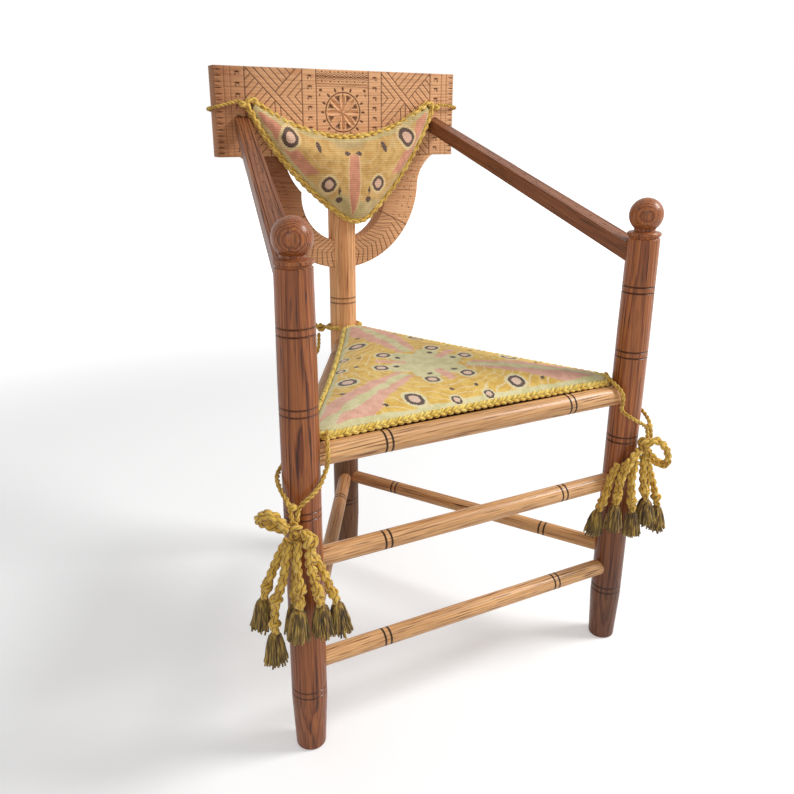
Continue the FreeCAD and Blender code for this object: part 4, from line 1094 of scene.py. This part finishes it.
def carved_plate(name, x, z, inside_edge, depth, stain_and_shade, rear):
    """A plate whose front is a grid of points pushed back by its carving.

    x and z are 2-D arrays in millimetres, row by row along the plate."""
    rows, columns = x.shape
    round_over = eased(inside_edge, 1.4, 1.1)
    y = BACK_FACE + round_over + depth
    front = np.stack([x, y, z], axis=-1).reshape(-1, 3)
    points = list(front * MM)
    index = np.arange(rows * columns).reshape(rows, columns)
    faces = []
    for i in range(rows - 1):
        a, b = index[i], index[i + 1]
        faces += [(int(a[j]), int(b[j]), int(b[j + 1]), int(a[j + 1])) for j in range(columns - 1)]
    rim = np.concatenate([index[0, :], index[1:, -1], index[-1, -2::-1], index[-2:0:-1, 0]])
    sharp = len(points)
    for k, shift in ((0, 1.2), (1, 0.0)):
        at = rear - shift
        points += [np.array((points[i][0], at * MM, points[i][2])) for i in rim]
    size = len(rim)
    ring = [int(i) for i in rim]
    for base in (sharp, sharp + size):
        after = list(range(base, base + size))
        faces += [(ring[k], ring[(k + 1) % size], after[(k + 1) % size], after[k]) for k in range(size)]
        ring = after
    # The back is closed row by row, straight across from one long side to the other.
    lookup = {int(i): ring[k] for k, i in enumerate(rim)}
    left = [lookup[int(i)] for i in index[:, 0]]
    right = [lookup[int(i)] for i in index[:, -1]]
    top, bottom = [lookup[int(i)] for i in index[0, :]], [lookup[int(i)] for i in index[-1, :]]
    if rows >= columns:
        for i in range(1, rows - 2):
            faces.append((left[i + 1], right[i + 1], right[i], left[i]))
        faces.append(tuple(top + [right[1], left[1]]))
        faces.append(tuple(bottom[::-1] + [left[-2], right[-2]]))
    else:
        for j in range(1, columns - 2):
            faces.append((top[j], top[j + 1], bottom[j + 1], bottom[j]))
        faces.append(tuple(left + [bottom[1], top[1]]))
        faces.append(tuple(right[::-1] + [top[-2], bottom[-2]]))
    made = mesh_object(name, points, faces)
    # The attribute "cut" carries how dark each cut is painted: stain and painted shade in the recess.
    cut = made.data.attributes.new("cut", "FLOAT", "POINT")
    values = np.zeros(len(points))
    values[:rows * columns] = np.clip(stain_and_shade.ravel(), 0, 1)
    cut.data.foreach_set("value", values)
    shell = bmesh.new()
    shell.from_mesh(made.data)
    bmesh.ops.recalc_face_normals(shell, faces=shell.faces)
    shell.to_mesh(made.data)
    shell.free()
    made.data.set_sharp_from_angle(angle=math.radians(50))
    return made


def make_crest(material):
    step = 0.8
    xs = np.linspace(-CREST_HALF, CREST_HALF, int(2 * CREST_HALF / step) + 1)
    zs = np.linspace(CREST_TOP, CREST_BOTTOM, int((CREST_TOP - CREST_BOTTOM) / step) + 1)
    x, z = np.meshgrid(xs, zs)
    edge = np.minimum.reduce([CREST_HALF - np.abs(x), CREST_TOP - z, z - CREST_BOTTOM])
    wobble = np.array([noise.noise(Vector((float(a) * 0.05, 2.2, float(b) * 0.05))) for a, b in
                       zip(x.ravel(), z.ravel())]).reshape(x.shape)
    depth, stain_and_shade = crest_carving(x + 0.35 * wobble, z + 0.35 * np.roll(wobble, 40, 1))
    made = carved_plate("carved_crest", x, z, edge, depth * (0.94 + 0.25 * wobble), stain_and_shade, BACK_REAR)
    dress(made, "crest_board", material)


def yoke_edges(count):
    """Matched points on the yoke's opening and on its outside, from horn to tongue."""
    inner_z, outer_z, lobe_z = 658.0, 677.0, 737.0
    cusp = math.atan2(665.5 - inner_z, 73.6)
    cusp_x, cusp_z = 74.0 * math.cos(cusp), inner_z + 74.0 * math.sin(cusp)
    lobe_from = math.asin((CREST_BOTTOM - lobe_z) / 103.0)
    lobe_to = math.atan2(cusp_z - lobe_z, cusp_x)
    angles = np.linspace(lobe_from, lobe_to, 60)
    lobe = np.column_stack([103.0 * np.cos(angles), lobe_z + 103.0 * np.sin(angles)])
    angles = np.linspace(cusp, -math.pi / 2, 120)
    bowl = np.column_stack([74.0 * np.cos(angles), inner_z + 74.0 * np.sin(angles)])
    low, high = outer_z - 60.0, CREST_BOTTOM
    for _ in range(50):
        middle = (low + high) / 2
        across = 165.0 + math.sqrt(max(3600.0 - (CREST_BOTTOM - middle) ** 2, 0))
        if math.hypot(across, middle - outer_z) < 197.0:
            low = middle
        else:
            high = middle
    flare = (across, middle)
    touch = math.atan2(middle - outer_z, across)
    start = math.atan2(CREST_BOTTOM - flare[1], 165.0 - flare[0])
    angles = np.linspace(start, math.pi + touch, 24)
    curl = np.column_stack([flare[0] + 60.0 * np.cos(angles), flare[1] + 60.0 * np.sin(angles)])
    angles = np.linspace(touch, -math.pi / 2, 160)
    hoop = np.column_stack([137.0 * np.cos(angles), outer_z + 137.0 * np.sin(angles)])

    def even(line, n):
        along = np.concatenate([[0], np.cumsum(np.hypot(*np.diff(line, axis=0).T))])
        places = np.linspace(0, along[-1], n)
        return np.column_stack([np.interp(places, along, line[:, 0]), np.interp(places, along, line[:, 1])])

    outside = np.vstack([curl[:-1], hoop])
    bend = np.argmin(np.abs(np.arctan2(outside[:, 1] - inner_z, outside[:, 0]) - cusp))
    upper = count // 4
    inside = np.vstack([even(lobe, upper)[:-1], even(bowl, count - upper + 1)])
    outside = np.vstack([even(outside[:bend + 1], upper)[:-1], even(outside[bend:], count - upper + 1)])
    return inside, outside


def yoke_carving(x, z, along, across, wide):
    """Cuts in the yoke's face by the place along its middle line and across it."""
    depth = np.zeros_like(x)
    angle = np.degrees(np.arctan2(z - 664.0, x))
    low = angle < -27.0
    row = along / 8.6
    mid = across + 1.0
    stroke = np.where(mid > 0, row + mid / 8.6 * 0.42, row - mid / 8.6 * 0.62)
    step = np.abs(stroke - np.round(stroke)) * 8.6
    rim = (np.abs(across) < wide / 2 - 0.8)
    depth = np.maximum(depth, np.where(low & rim, vee(step, 1.0, 1.1), 0))
    bar = np.hypot(x, z - 664.0) * np.radians(angle + 27.0)
    depth = np.maximum(depth, vee(bar, 1.1, 1.2))
    tick_row = along / 6.2
    tick = np.abs(tick_row - np.round(tick_row)) * 6.2
    high = (angle > -25.0) & (angle < 26.0)
    slanted = vee(tick + 0.25 * np.maximum(0, -across - 8), 0.7, 0.8)
    depth = np.maximum(depth, np.where(high & (across < -1) & rim, slanted, 0))
    depth = np.maximum(depth, np.where(high & (across > 2) & (across < 13) & rim, vee(tick, 0.6, 0.5), 0))
    pit_row = along / 15.0
    pit = (pit_row - np.round(pit_row)) * 15.0
    for place in (6.5, 20.0):
        depth = np.maximum(depth, np.where(high, pocket(pit, across - place + 2.0, 2.0, 4.0, 1.5), 0))
    depth = np.maximum(depth, np.where(high, vee(across - 15.5, 0.7, 0.7), 0))
    return depth


def make_yokes(material):
    columns = 64
    count = 260
    inside, outside = yoke_edges(count)
    share = np.linspace(0, 1, columns)
    x = inside[:, :1] * (1 - share) + outside[:, :1] * share
    z = inside[:, 1:] * (1 - share) + outside[:, 1:] * share
    middle = (inside + outside) / 2
    steps = np.concatenate([[0], np.cumsum(np.hypot(*np.diff(middle, axis=0).T))])
    along = np.repeat((steps[-1] - steps)[:, None], columns, 1)
    wide = np.hypot(*(outside - inside).T)[:, None]
    across = (share - 0.5) * wide
    edge = np.minimum(wide / 2 - np.abs(across), 99.0)
    x = np.maximum(x, 0.15)
    depth = yoke_carving(x, z, along, across, wide)
    for side, name in ((1, "right"), (-1, "left")):
        # The yoke's cuts are painted darker by their depth: stain and painted shade.
        made = carved_plate("carved_yoke_" + name, x * side, z, edge, depth, depth / 0.9, BACK_REAR)
        dress(made, name + "_back_yoke", material)


# ---------------------------------------------------------------- finishes

def oak(name, tones, grain, anchor, pith=(0, 0), pitch=4.0, wander=6.0, gloss=0.36, bands=(), carved=False,
        mirrored=False, shades=(), coat=0.05, figured=1.0, ring_stain_and_shade=0.9, marks=False, tilted=(0, 0)):
    """Oak with its grain along one direction, turned so that the pith runs past the anchor."""
    made, g = new_material(name)
    place = g.node("ShaderNodeTexCoord").outputs["Object"]
    turn = Vector(grain).normalized().rotation_difference(Z_UP).to_matrix()
    shift = Vector((pith[0], pith[1], 0)) * MM - turn @ (Vector(anchor) * MM)
    mapped = g.node("ShaderNodeMapping", {"Vector": place, "Location": shift,
                                          "Rotation": turn.to_euler()}).outputs[0]
    grown = g.vector("ADD", mapped, (tilted[0] * MM, tilted[1] * MM, 0))
    figure = g.group(OAK, {"Vector": grown, "Ring Pitch": pitch * MM, "Ring Wander": wander * MM})
    light, middle, dark = tones
    colour = g.mix(g.span(figure["Rings"], 0.05, 0.85), light, middle)
    fibre = g.span(figure["Fibre"], 0.36, 0.66)
    colour = g.mix(g.math("MULTIPLY", fibre, 0.45 * figured), colour, dark)
    colour = g.mix(g.math("MULTIPLY", figure["Pores"], 0.85 * figured), colour, tuple(0.6 * c for c in dark))
    deeper = tuple(0.55 * c for c in middle)
    colour = g.mix(g.span(figure["Drift"], 0.42, 0.70, 0.0, 0.5), colour, deeper)
    x, y, z = g.split(place)
    for axis, low, high, shade, amount in shades:
        value = (x, y, z)["XYZ".index(axis)]
        colour = g.mix(g.span(value, low * MM, high * MM, 0.0, amount), colour, shade, "MULTIPLY")
    along = g.split(mapped)[2]
    if mirrored:
        along = g.math("ABSOLUTE", along)
    # The turned rings are painted dark in their grooves: stain and painted shade.
    for centre in bands:
        mask = g.group(BAND, {"Along": along, "Centre": centre * MM, "Half Gap": RING_HALF_GAP * MM,
                              "Half Width": 0.0015})["Mask"]
        colour = g.mix(g.math("MULTIPLY", mask, ring_stain_and_shade), colour, (0.018, 0.007, 0.004))
    # The arm's scored lines and notches are painted dark: stain and painted shade.
    if marks:
        colour = g.mix(arm_cut_stain_and_shade(g, mapped), colour, (0.03, 0.010, 0.005))
    height = g.math("MULTIPLY_ADD", figure["Pores"], -0.7, g.math("MULTIPLY", figure["Fibre"], 0.5))
    if carved:
        # Darker in the cuts by the attribute "cut": stain and painted shade in the recesses.
        cut = g.node("ShaderNodeAttribute", attribute_name="cut").outputs["Fac"]
        colour = g.mix(g.span(cut, 0.1, 0.9, 0.0, 0.86), colour, tuple(0.42 * c for c in dark))
    rough = g.math("MULTIPLY_ADD", figure["Fibre"], 0.22, gloss)
    finish_material(g, colour, rough, height, 0.45, 0.0006,
                    **{"Coat Weight": coat, "Coat Roughness": 0.22, "Specular IOR Level": 0.24})
    return made


def arm_cut_stain_and_shade(g, mapped):
    # Stain and painted shade in the arm's scored edge lines and in its row of notches, on the upper face.
    x, y, z = g.split(mapped)
    share = g.math("DIVIDE", z, 0.457)
    side = g.math("ABSOLUTE", x)
    line = g.math("ABSOLUTE", g.math("SUBTRACT", side, g.math("MULTIPLY_ADD", share, -0.005, 0.0109)))
    lines = g.span(line, 0.0014, 0.0008)
    step = g.math("FRACT", g.math("DIVIDE", g.math("SUBTRACT", z, 0.044), 0.02738))
    taper = g.math("SUBTRACT", 1.0, g.math("DIVIDE", step, 0.30))
    notch = g.span(g.math("SUBTRACT", side, g.math("MULTIPLY", taper, 0.0028)), 0.0, -0.0005)
    inside = g.math("MULTIPLY", g.span(z, 0.040, 0.042), g.span(z, 0.412, 0.410))
    both = g.math("MAXIMUM", lines, g.math("MULTIPLY", notch, inside))
    upper = g.span(y, 0.005, 0.0065)
    return g.math("MULTIPLY", g.math("MULTIPLY", both, upper), 0.85)


def wool(name, tones, plies, twist, seed):
    made, g = new_material(name)
    uv = g.node("ShaderNodeUVMap", uv_map="yarn").outputs[0]
    yarn = g.group(YARN, {"UV": uv, "Plies": plies, "Twist": twist, "Seed": seed})
    light, middle, dark = tones
    # Darker in the grooves between the plies: painted shade, by the yarn's Shade.
    colour = g.mix(g.span(yarn["Shade"], 0.1, 1.0), dark, middle)
    colour = g.mix(g.span(yarn["Drift"], 0.4, 0.7, 0.0, 0.8), colour,
                   g.mix(g.span(yarn["Shade"], 0.1, 1.0), middle, light))
    finish_material(g, colour, 0.92, yarn["Height"], 0.6, 0.0006, **{"Sheen Weight": 0.25, "Sheen Roughness": 0.6})
    return made


def tassel_wool():
    made, g = new_material("olive tassel wool")
    place = g.node("ShaderNodeTexCoord").outputs["Object"]
    x, y, z = g.split(place)
    # The streaks paint shade between the strands in their darkest stop and highlights in their brightest, over the
    # wool's olive colour.
    painted_light_streak = g.noise(g.join(x, y, g.math("MULTIPLY", z, 0.10)), 330.0, 2.0)
    clump = g.noise(g.join(x, y, g.math("MULTIPLY", z, 0.3)), 90.0, 2.0)
    colour = g.ramp(painted_light_streak, [(0.34, (0.022, 0.009, 0.002)), (0.50, (0.20, 0.105, 0.018)),
                             (0.64, (0.56, 0.36, 0.07))])
    colour = g.mix(g.span(clump, 0.4, 0.7, 0.0, 0.5), colour, (0.26, 0.17, 0.025))
    finish_material(g, colour, 0.95, painted_light_streak, 0.5, 0.0005, **{"Sheen Weight": 0.2, "Sheen Roughness": 0.6})
    return made


def least(g, values):
    out = values[0]
    for value in values[1:]:
        out = g.math("MINIMUM", out, value)
    return out


def rounded_lozenge(g, across, along, place, size):
    x = g.math("DIVIDE", g.math("ABSOLUTE", g.math("SUBTRACT", across, place[0] * MM)), size[0] * MM)
    y = g.math("DIVIDE", g.math("ABSOLUTE", g.math("SUBTRACT", along, place[1] * MM)), size[1] * MM)
    return g.math("ADD", g.math("POWER", x, 1.7), g.math("POWER", y, 1.7))


# Wools of the two covers: light and deep.
SEAT_TONES = {"ground": ((0.90, 0.60, 0.135), (0.79, 0.48, 0.085)), "sage": ((0.82, 0.76, 0.44), (0.71, 0.66, 0.34)),
              "salmon": ((0.92, 0.52, 0.39), (0.82, 0.43, 0.31)), "cream": (0.96, 0.82, 0.52),
              "blush": (0.84, 0.60, 0.46), "ink": (0.085, 0.055, 0.055)}
BACK_TONES = {"ground": ((0.74, 0.46, 0.16), (0.62, 0.35, 0.10)), "sage": ((0.68, 0.53, 0.25), (0.56, 0.43, 0.19)),
              "salmon": ((0.76, 0.32, 0.20), (0.64, 0.26, 0.16)), "cream": (0.82, 0.60, 0.30),
              "blush": (0.80, 0.50, 0.36), "ink": (0.085, 0.050, 0.045)}


def cover(name, tones, along_axis, centre, stitch, rib, pattern, lining=None):
    """A generic stitched pattern in the cover's wools, by stitch, with ribs across."""
    made, g = new_material(name)
    place = g.node("ShaderNodeTexCoord").outputs["Object"]
    x, y, z = g.split(place)
    along = g.math("SUBTRACT", y if along_axis == "Y" else z, centre[1] * MM)
    cells = g.group(STITCHES, {"Across": g.math("SUBTRACT", x, centre[0] * MM), "Along": along,
                               "Stitch": stitch * MM})
    flat = g.join(cells["Across"], cells["Along"], 0.0)
    warp = g.math("SUBTRACT", g.noise(flat, 26.0, 2.0), 0.5)
    patch = g.noise(flat, 60.0, 2.0)
    wools = {key: g.mix(g.span(patch, 0.42, 0.60), *pair) if isinstance(pair[0], tuple) else pair
             for key, pair in tones.items()}
    rim = g.math("MULTIPLY_ADD", warp, 0.010, g.node("ShaderNodeAttribute", attribute_name="rim").outputs["Fac"])
    colour = pattern(g, cells["Across"], cells["Along"], warp, rim, wools)
    shadow = tuple(0.35 * c for c in tones["ground"][1])
    colour = g.mix(g.span(cells["Shade"], 0.0, 1.0, 0.0, 0.16), colour, shadow)
    row = g.math("MULTIPLY", g.math("PINGPONG", g.math("DIVIDE", along, rib[0] * MM), 0.5), 2.0)
    colour = g.mix(g.span(row, 0.42, 0.0, 0.0, rib[1]), colour, shadow)
    if lining:
        slope, level = lining
        under = g.math("SUBTRACT", z, g.math("MULTIPLY_ADD", y, slope, level))
        colour = g.mix(g.span(under, -0.0022, -0.0030), colour, (0.62, 0.58, 0.52))
    finish_material(g, colour, 0.9, g.math("ADD", row, cells["Row"]), 0.4, 0.0006,
                    **{"Sheen Weight": 0.12, "Sheen Roughness": 0.5})
    return made


def contours(g, far, warp, colour, cream):
    # Pale wavy lines round the middle, one each 13 mm.
    wave = g.math("FRACT", g.math("DIVIDE", g.math("MULTIPLY_ADD", warp, 0.034, far), 0.013))
    line = g.span(g.math("ABSOLUTE", g.math("SUBTRACT", wave, 0.5)), 0.09, 0.06)
    return g.mix(g.math("MULTIPLY", line, 0.7), colour, cream)


def ringed(g, across, along, marks, halo, colour, wools):
    # Blush lozenges in a dark outline, on a pale ground.
    mark = least(g, [rounded_lozenge(g, across, along, at, size) for at, size in marks])
    colour = g.mix(g.span(mark, 1.75, 1.62), colour, halo)
    colour = g.mix(g.span(mark, 1.06, 1.0), colour, wools["ink"])
    return g.mix(g.span(mark, 0.44, 0.38), colour, wools["blush"])


def inked(g, across, along, marks, colour, wools):
    # Small dark lozenges.
    mark = least(g, [rounded_lozenge(g, across, along, at, size) for at, size in marks])
    return g.mix(g.span(mark, 1.06, 1.0), colour, wools["ink"])


def seat_pattern(g, across, along, warp, rim, wools):
    # Three equal sectors, each drawn as the one round the rear corner.
    angle = g.math("ARCTAN2", across, along)
    third = 2 * math.pi / 3
    off = g.math("SUBTRACT", g.math("WRAP", g.math("ADD", angle, third / 2), third, 0.0), third / 2)
    far = g.math("SQRT", g.total(g.math("MULTIPLY", across, across), g.math("MULTIPLY", along, along)))
    side = g.math("ABSOLUTE", g.math("MULTIPLY", far, g.math("SINE", off)))
    out = g.math("MULTIPLY", far, g.math("COSINE", off))
    colour = contours(g, far, warp, wools["ground"], wools["cream"])
    wide = g.math("MULTIPLY_ADD", warp, 0.020, side)
    # A salmon stripe that widens to the corner, with sage down its middle.
    spread = g.math("MULTIPLY_ADD", out, 0.16, 0.004)
    begun = g.span(out, 0.056, 0.058)
    colour = g.mix(g.math("MULTIPLY", g.span(g.math("SUBTRACT", wide, spread), 0.0004, -0.0004), begun), colour,
                   wools["salmon"])
    vein = g.math("MULTIPLY_ADD", warp, 0.022, 0.0075)
    colour = g.mix(g.math("MULTIPLY", g.span(g.math("SUBTRACT", side, vein), 0.0004, -0.0004), begun), colour,
                   wools["sage"])
    # Between the stripes: a salmon petal, and a sage star under it.
    across_petal = g.math("ABSOLUTE", g.math("MULTIPLY_ADD", side, 0.5, g.math("MULTIPLY", out, -0.866)))
    along_petal = g.math("MULTIPLY_ADD", side, 0.866, g.math("MULTIPLY", out, 0.5))
    star = g.math("MULTIPLY_ADD", warp, 0.03, far)
    lobes = g.math("ABSOLUTE", g.math("SINE", g.math("MULTIPLY", off, 3.0)))
    star = g.math("SUBTRACT", star, g.math("MULTIPLY", lobes, 0.022))
    colour = g.mix(g.span(star, 0.042, 0.040), colour, wools["sage"])
    petal = g.math("MULTIPLY", g.span(g.math("ABSOLUTE", g.math("SUBTRACT", along_petal, 0.052)), 0.022, 0.021),
                   g.span(g.math("MULTIPLY_ADD", warp, 0.012, across_petal), 0.0066, 0.0060))
    colour = g.mix(petal, colour, wools["salmon"])
    colour = g.mix(g.span(rim, 0.0115, 0.0105), colour, wools["sage"])
    pale = g.mix(0.5, wools["sage"], wools["cream"])
    colour = ringed(g, side, out, [((41, 56), (11, 10)), ((52, 122), (14, 12)), ((92, 82), (8, 7))], pale,
                    colour, wools)
    return inked(g, side, out, [((27, 38), (4, 5)), ((76, 66), (4, 3)), ((33, 160), (4, 3))], colour, wools)


def back_pattern(g, across, along, warp, rim, wools):
    side = g.math("ABSOLUTE", across)
    far = g.math("SQRT", g.total(g.math("MULTIPLY", g.math("MULTIPLY", across, across), 0.35),
                                 g.math("MULTIPLY", along, along)))
    colour = contours(g, far, warp, wools["ground"], g.mix(0.5, wools["cream"], wools["ground"]))
    lower = g.node("ShaderNodeAttribute", attribute_name="lower").outputs["Fac"]
    lower = g.math("MULTIPLY_ADD", warp, 0.012, lower)
    upper = g.span(g.math("MULTIPLY_ADD", warp, 0.05, along), -0.048, -0.046)
    colour = g.mix(g.math("MULTIPLY", g.span(lower, 0.0245, 0.0235), upper), colour, wools["salmon"])
    tip = g.span(g.math("MULTIPLY_ADD", warp, 0.06, along), -0.084, -0.088)
    colour = g.mix(tip, colour, wools["sage"])
    # A stripe down to the tip, with pale edges.
    taper = g.math("MULTIPLY", g.span(along, -0.118, -0.072), 0.0085)
    stripe = g.math("SUBTRACT", g.math("MULTIPLY_ADD", warp, 0.006, side), taper)
    below = g.span(along, -0.016, -0.020)
    colour = g.mix(g.math("MULTIPLY", g.span(stripe, 0.0024, 0.0016), below), colour, wools["cream"])
    colour = g.mix(g.math("MULTIPLY", g.span(stripe, 0.0004, -0.0004), below), colour, wools["salmon"])
    # A dull patch in the hollow at the top.
    dull = g.math("SQRT", g.total(g.math("MULTIPLY", g.math("MULTIPLY", across, across), 0.5),
                                  g.math("MULTIPLY", g.math("SUBTRACT", along, 0.008), g.math("SUBTRACT", along, 0.008))))
    colour = g.mix(g.span(g.math("MULTIPLY_ADD", warp, 0.02, dull), 0.024, 0.018, 0.0, 0.8), colour,
                   g.mix(0.5, wools["sage"], (0.42, 0.30, 0.15)))
    colour = g.mix(g.span(rim, 0.0085, 0.0078), colour, wools["sage"])
    colour = ringed(g, side, along, [((100, 8), (13, 15)), ((42, -62), (11, 12))], wools["cream"], colour, wools)
    return inked(g, side, along, [((24, -86), (5, 5)), ((56, -6), (4, 8)), ((10, -16), (5, 3)), ((25, -72), (2, 6))],
                 colour, wools)


def dress_wood():
    # The turned posts are sawn flat, so the side that faces front shows the broad figure.
    post = ((0.42, 0.132, 0.036), (0.215, 0.050, 0.012), (0.050, 0.012, 0.004))
    rear = ((0.98, 0.54, 0.25), (0.80, 0.37, 0.155), (0.38, 0.14, 0.048))
    rail = ((0.94, 0.56, 0.26), (0.74, 0.35, 0.125), (0.20, 0.062, 0.020))
    board = ((0.80, 0.44, 0.225), (0.66, 0.315, 0.14), (0.27, 0.09, 0.032))
    arm = ((0.33, 0.120, 0.045), (0.20, 0.060, 0.022), (0.07, 0.020, 0.009))
    plain = ((0.50, 0.28, 0.14), (0.38, 0.19, 0.085), (0.16, 0.06, 0.025))
    finish = {}

    def give(node, material):
        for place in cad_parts[node].material_slots:
            place.material = material

    give("front_left_post", oak("left post oak", post, (0, 0, 1), (-POST_X, FRONT_Y, 0), (-21, -56), 2.4, 5.0, 0.36,
                                FRONT_RINGS, coat=0.3, ring_stain_and_shade=0.45))
    right_post = tuple(tuple(c * k for c, k in zip(tone, (1.15, 1.18, 1.15))) for tone in post)
    give("front_right_post", oak("right post oak", right_post,
                                 (0, 0, 1), (POST_X, FRONT_Y, 0), (-40, -46), 2.8, 6.0, 0.36, FRONT_RINGS, coat=0.3,
                                 ring_stain_and_shade=0.6, shades=[("Z", 330, 80, (0.46, 0.50, 0.66), 1.0)]))
    # Painted shade: the rear post is darker below the seat, where the seat shades it.
    give("rear_post", oak("rear post oak", rear, (0, 0, 1), (0, REAR_Y, 0), (-16, -40), 3.0, 6.0, 0.42, REAR_RINGS,
                          ring_stain_and_shade=0.5, shades=[("Z", 430, 330, (0.20, 0.17, 0.16), 1.0)]))
    half = POST_X - RAIL_RING_INSET
    for n, (node, height) in enumerate((("front_seat_rail", 406.0), ("front_upper_stretcher", 271.2),
                                        ("front_lower_stretcher", 124.9))):
        give(node, oak(node.replace("_", " ") + " oak", rail, (1, 0.018, 0.012 - 0.01 * n), (0, FRONT_Y, height),
                       (24 + 5 * n, -22 + 8 * n), 3.2, 8.0, 0.38, (half,), mirrored=True, coat=0.3))
    along = math.hypot(POST_X, REAR_Y - FRONT_Y)
    for side, name in ((-1, "left"), (1, "right")):
        way = (-side * POST_X / along, (REAR_Y - FRONT_Y) / along, 0)
        for node, height in (("_seat_rail", 406.0), ("_side_stretcher", 154.4)):
            give(name + node, oak(name + node.replace("_", " ") + " oak", rail, way, (side * POST_X / 2, 0, height),
                                  (18, 22 * side), 3.2, 7.0, 0.40, (along / 2 - RAIL_RING_INSET,), mirrored=True,
                                  shades=[("Y", -120, 180, (0.62, 0.52, 0.46), 1.0)]))
        slope = (-side * 87.3, 416.5, 166.2)
        give(name + "_arm", oak(name + " arm oak", arm, slope, (side * 252.0, FRONT_Y, 600.9), (0, 0), 3.0, 5.0,
                                0.38, coat=0.1,
                                marks=True, tilted=(16, 30 * side)))
    give("seat_board", oak("seat board oak", plain, (1, 0, 0), (0, 0, 406.0), (40, 25), 5.0, 6.0, 0.6))
    pegs = oak("peg oak", plain, (0, 0, 1), (0, REAR_Y, 0), (10, 0), 2.0, 2.0, 0.6)
    give("yoke_dowels", pegs)
    give("arm_dowels", pegs)
    # Painted shade: the crest board is darker towards its left end, in the shade of the left arm and the back
    # cushion.
    finish["crest"] = oak("carved crest oak", board, (1, 0.02, 0.03), (0, REAR_Y, 783.0), (60, 22), 4.5, 10.0, 0.48,
                          carved=True, figured=0.38, shades=[("X", -120, -203, (0.66, 0.54, 0.48), 1.0)])
    # Painted shade: the yoke is darker towards its left, where the left arm and the back cushion shade it.
    finish["yoke"] = oak("carved yoke oak", board, (1, 0.02, -0.05), (0, REAR_Y, 640.0), (50, 30), 4.5, 9.0, 0.48,
                         carved=True, figured=0.45, shades=[("X", -30, -110, (0.46, 0.33, 0.27), 1.0)])
    return finish


def main():
    light_scene()
    place_camera()
    mustard = wool("mustard wool", ((0.92, 0.63, 0.12), (0.64, 0.37, 0.035), (0.17, 0.070, 0.007)), 3.0, 0.009, 1.0)
    lemon = wool("lemon wool", ((1.00, 0.82, 0.24), (0.84, 0.58, 0.08), (0.32, 0.17, 0.018)), 3.0, 0.009, 5.0)
    gold = wool("golden wool", ((0.96, 0.68, 0.17), (0.74, 0.45, 0.06), (0.26, 0.11, 0.012)), 3.0, 0.009, 9.0)
    make_cords(mustard, tassel_wool())
    make_pipings(lemon, gold)
    slope = math.tan(SEAT_TILT)
    level = (SEAT_PIPING_HEIGHT - SEAT_PIVOT * slope) * MM
    make_seat_cushion(cover("seat needlework", SEAT_TONES, "Y", (0, FRONT_Y + 143.0), 1.7, (1.7, 0.16), seat_pattern,
                            (slope, level)))
    make_back_cushion(cover("back needlework", BACK_TONES, "Z", (0, 740.0), 1.6, (3.2, 0.5), back_pattern))
    finish = dress_wood()
    make_crest(finish["crest"])
    make_yokes(finish["yoke"])


main()
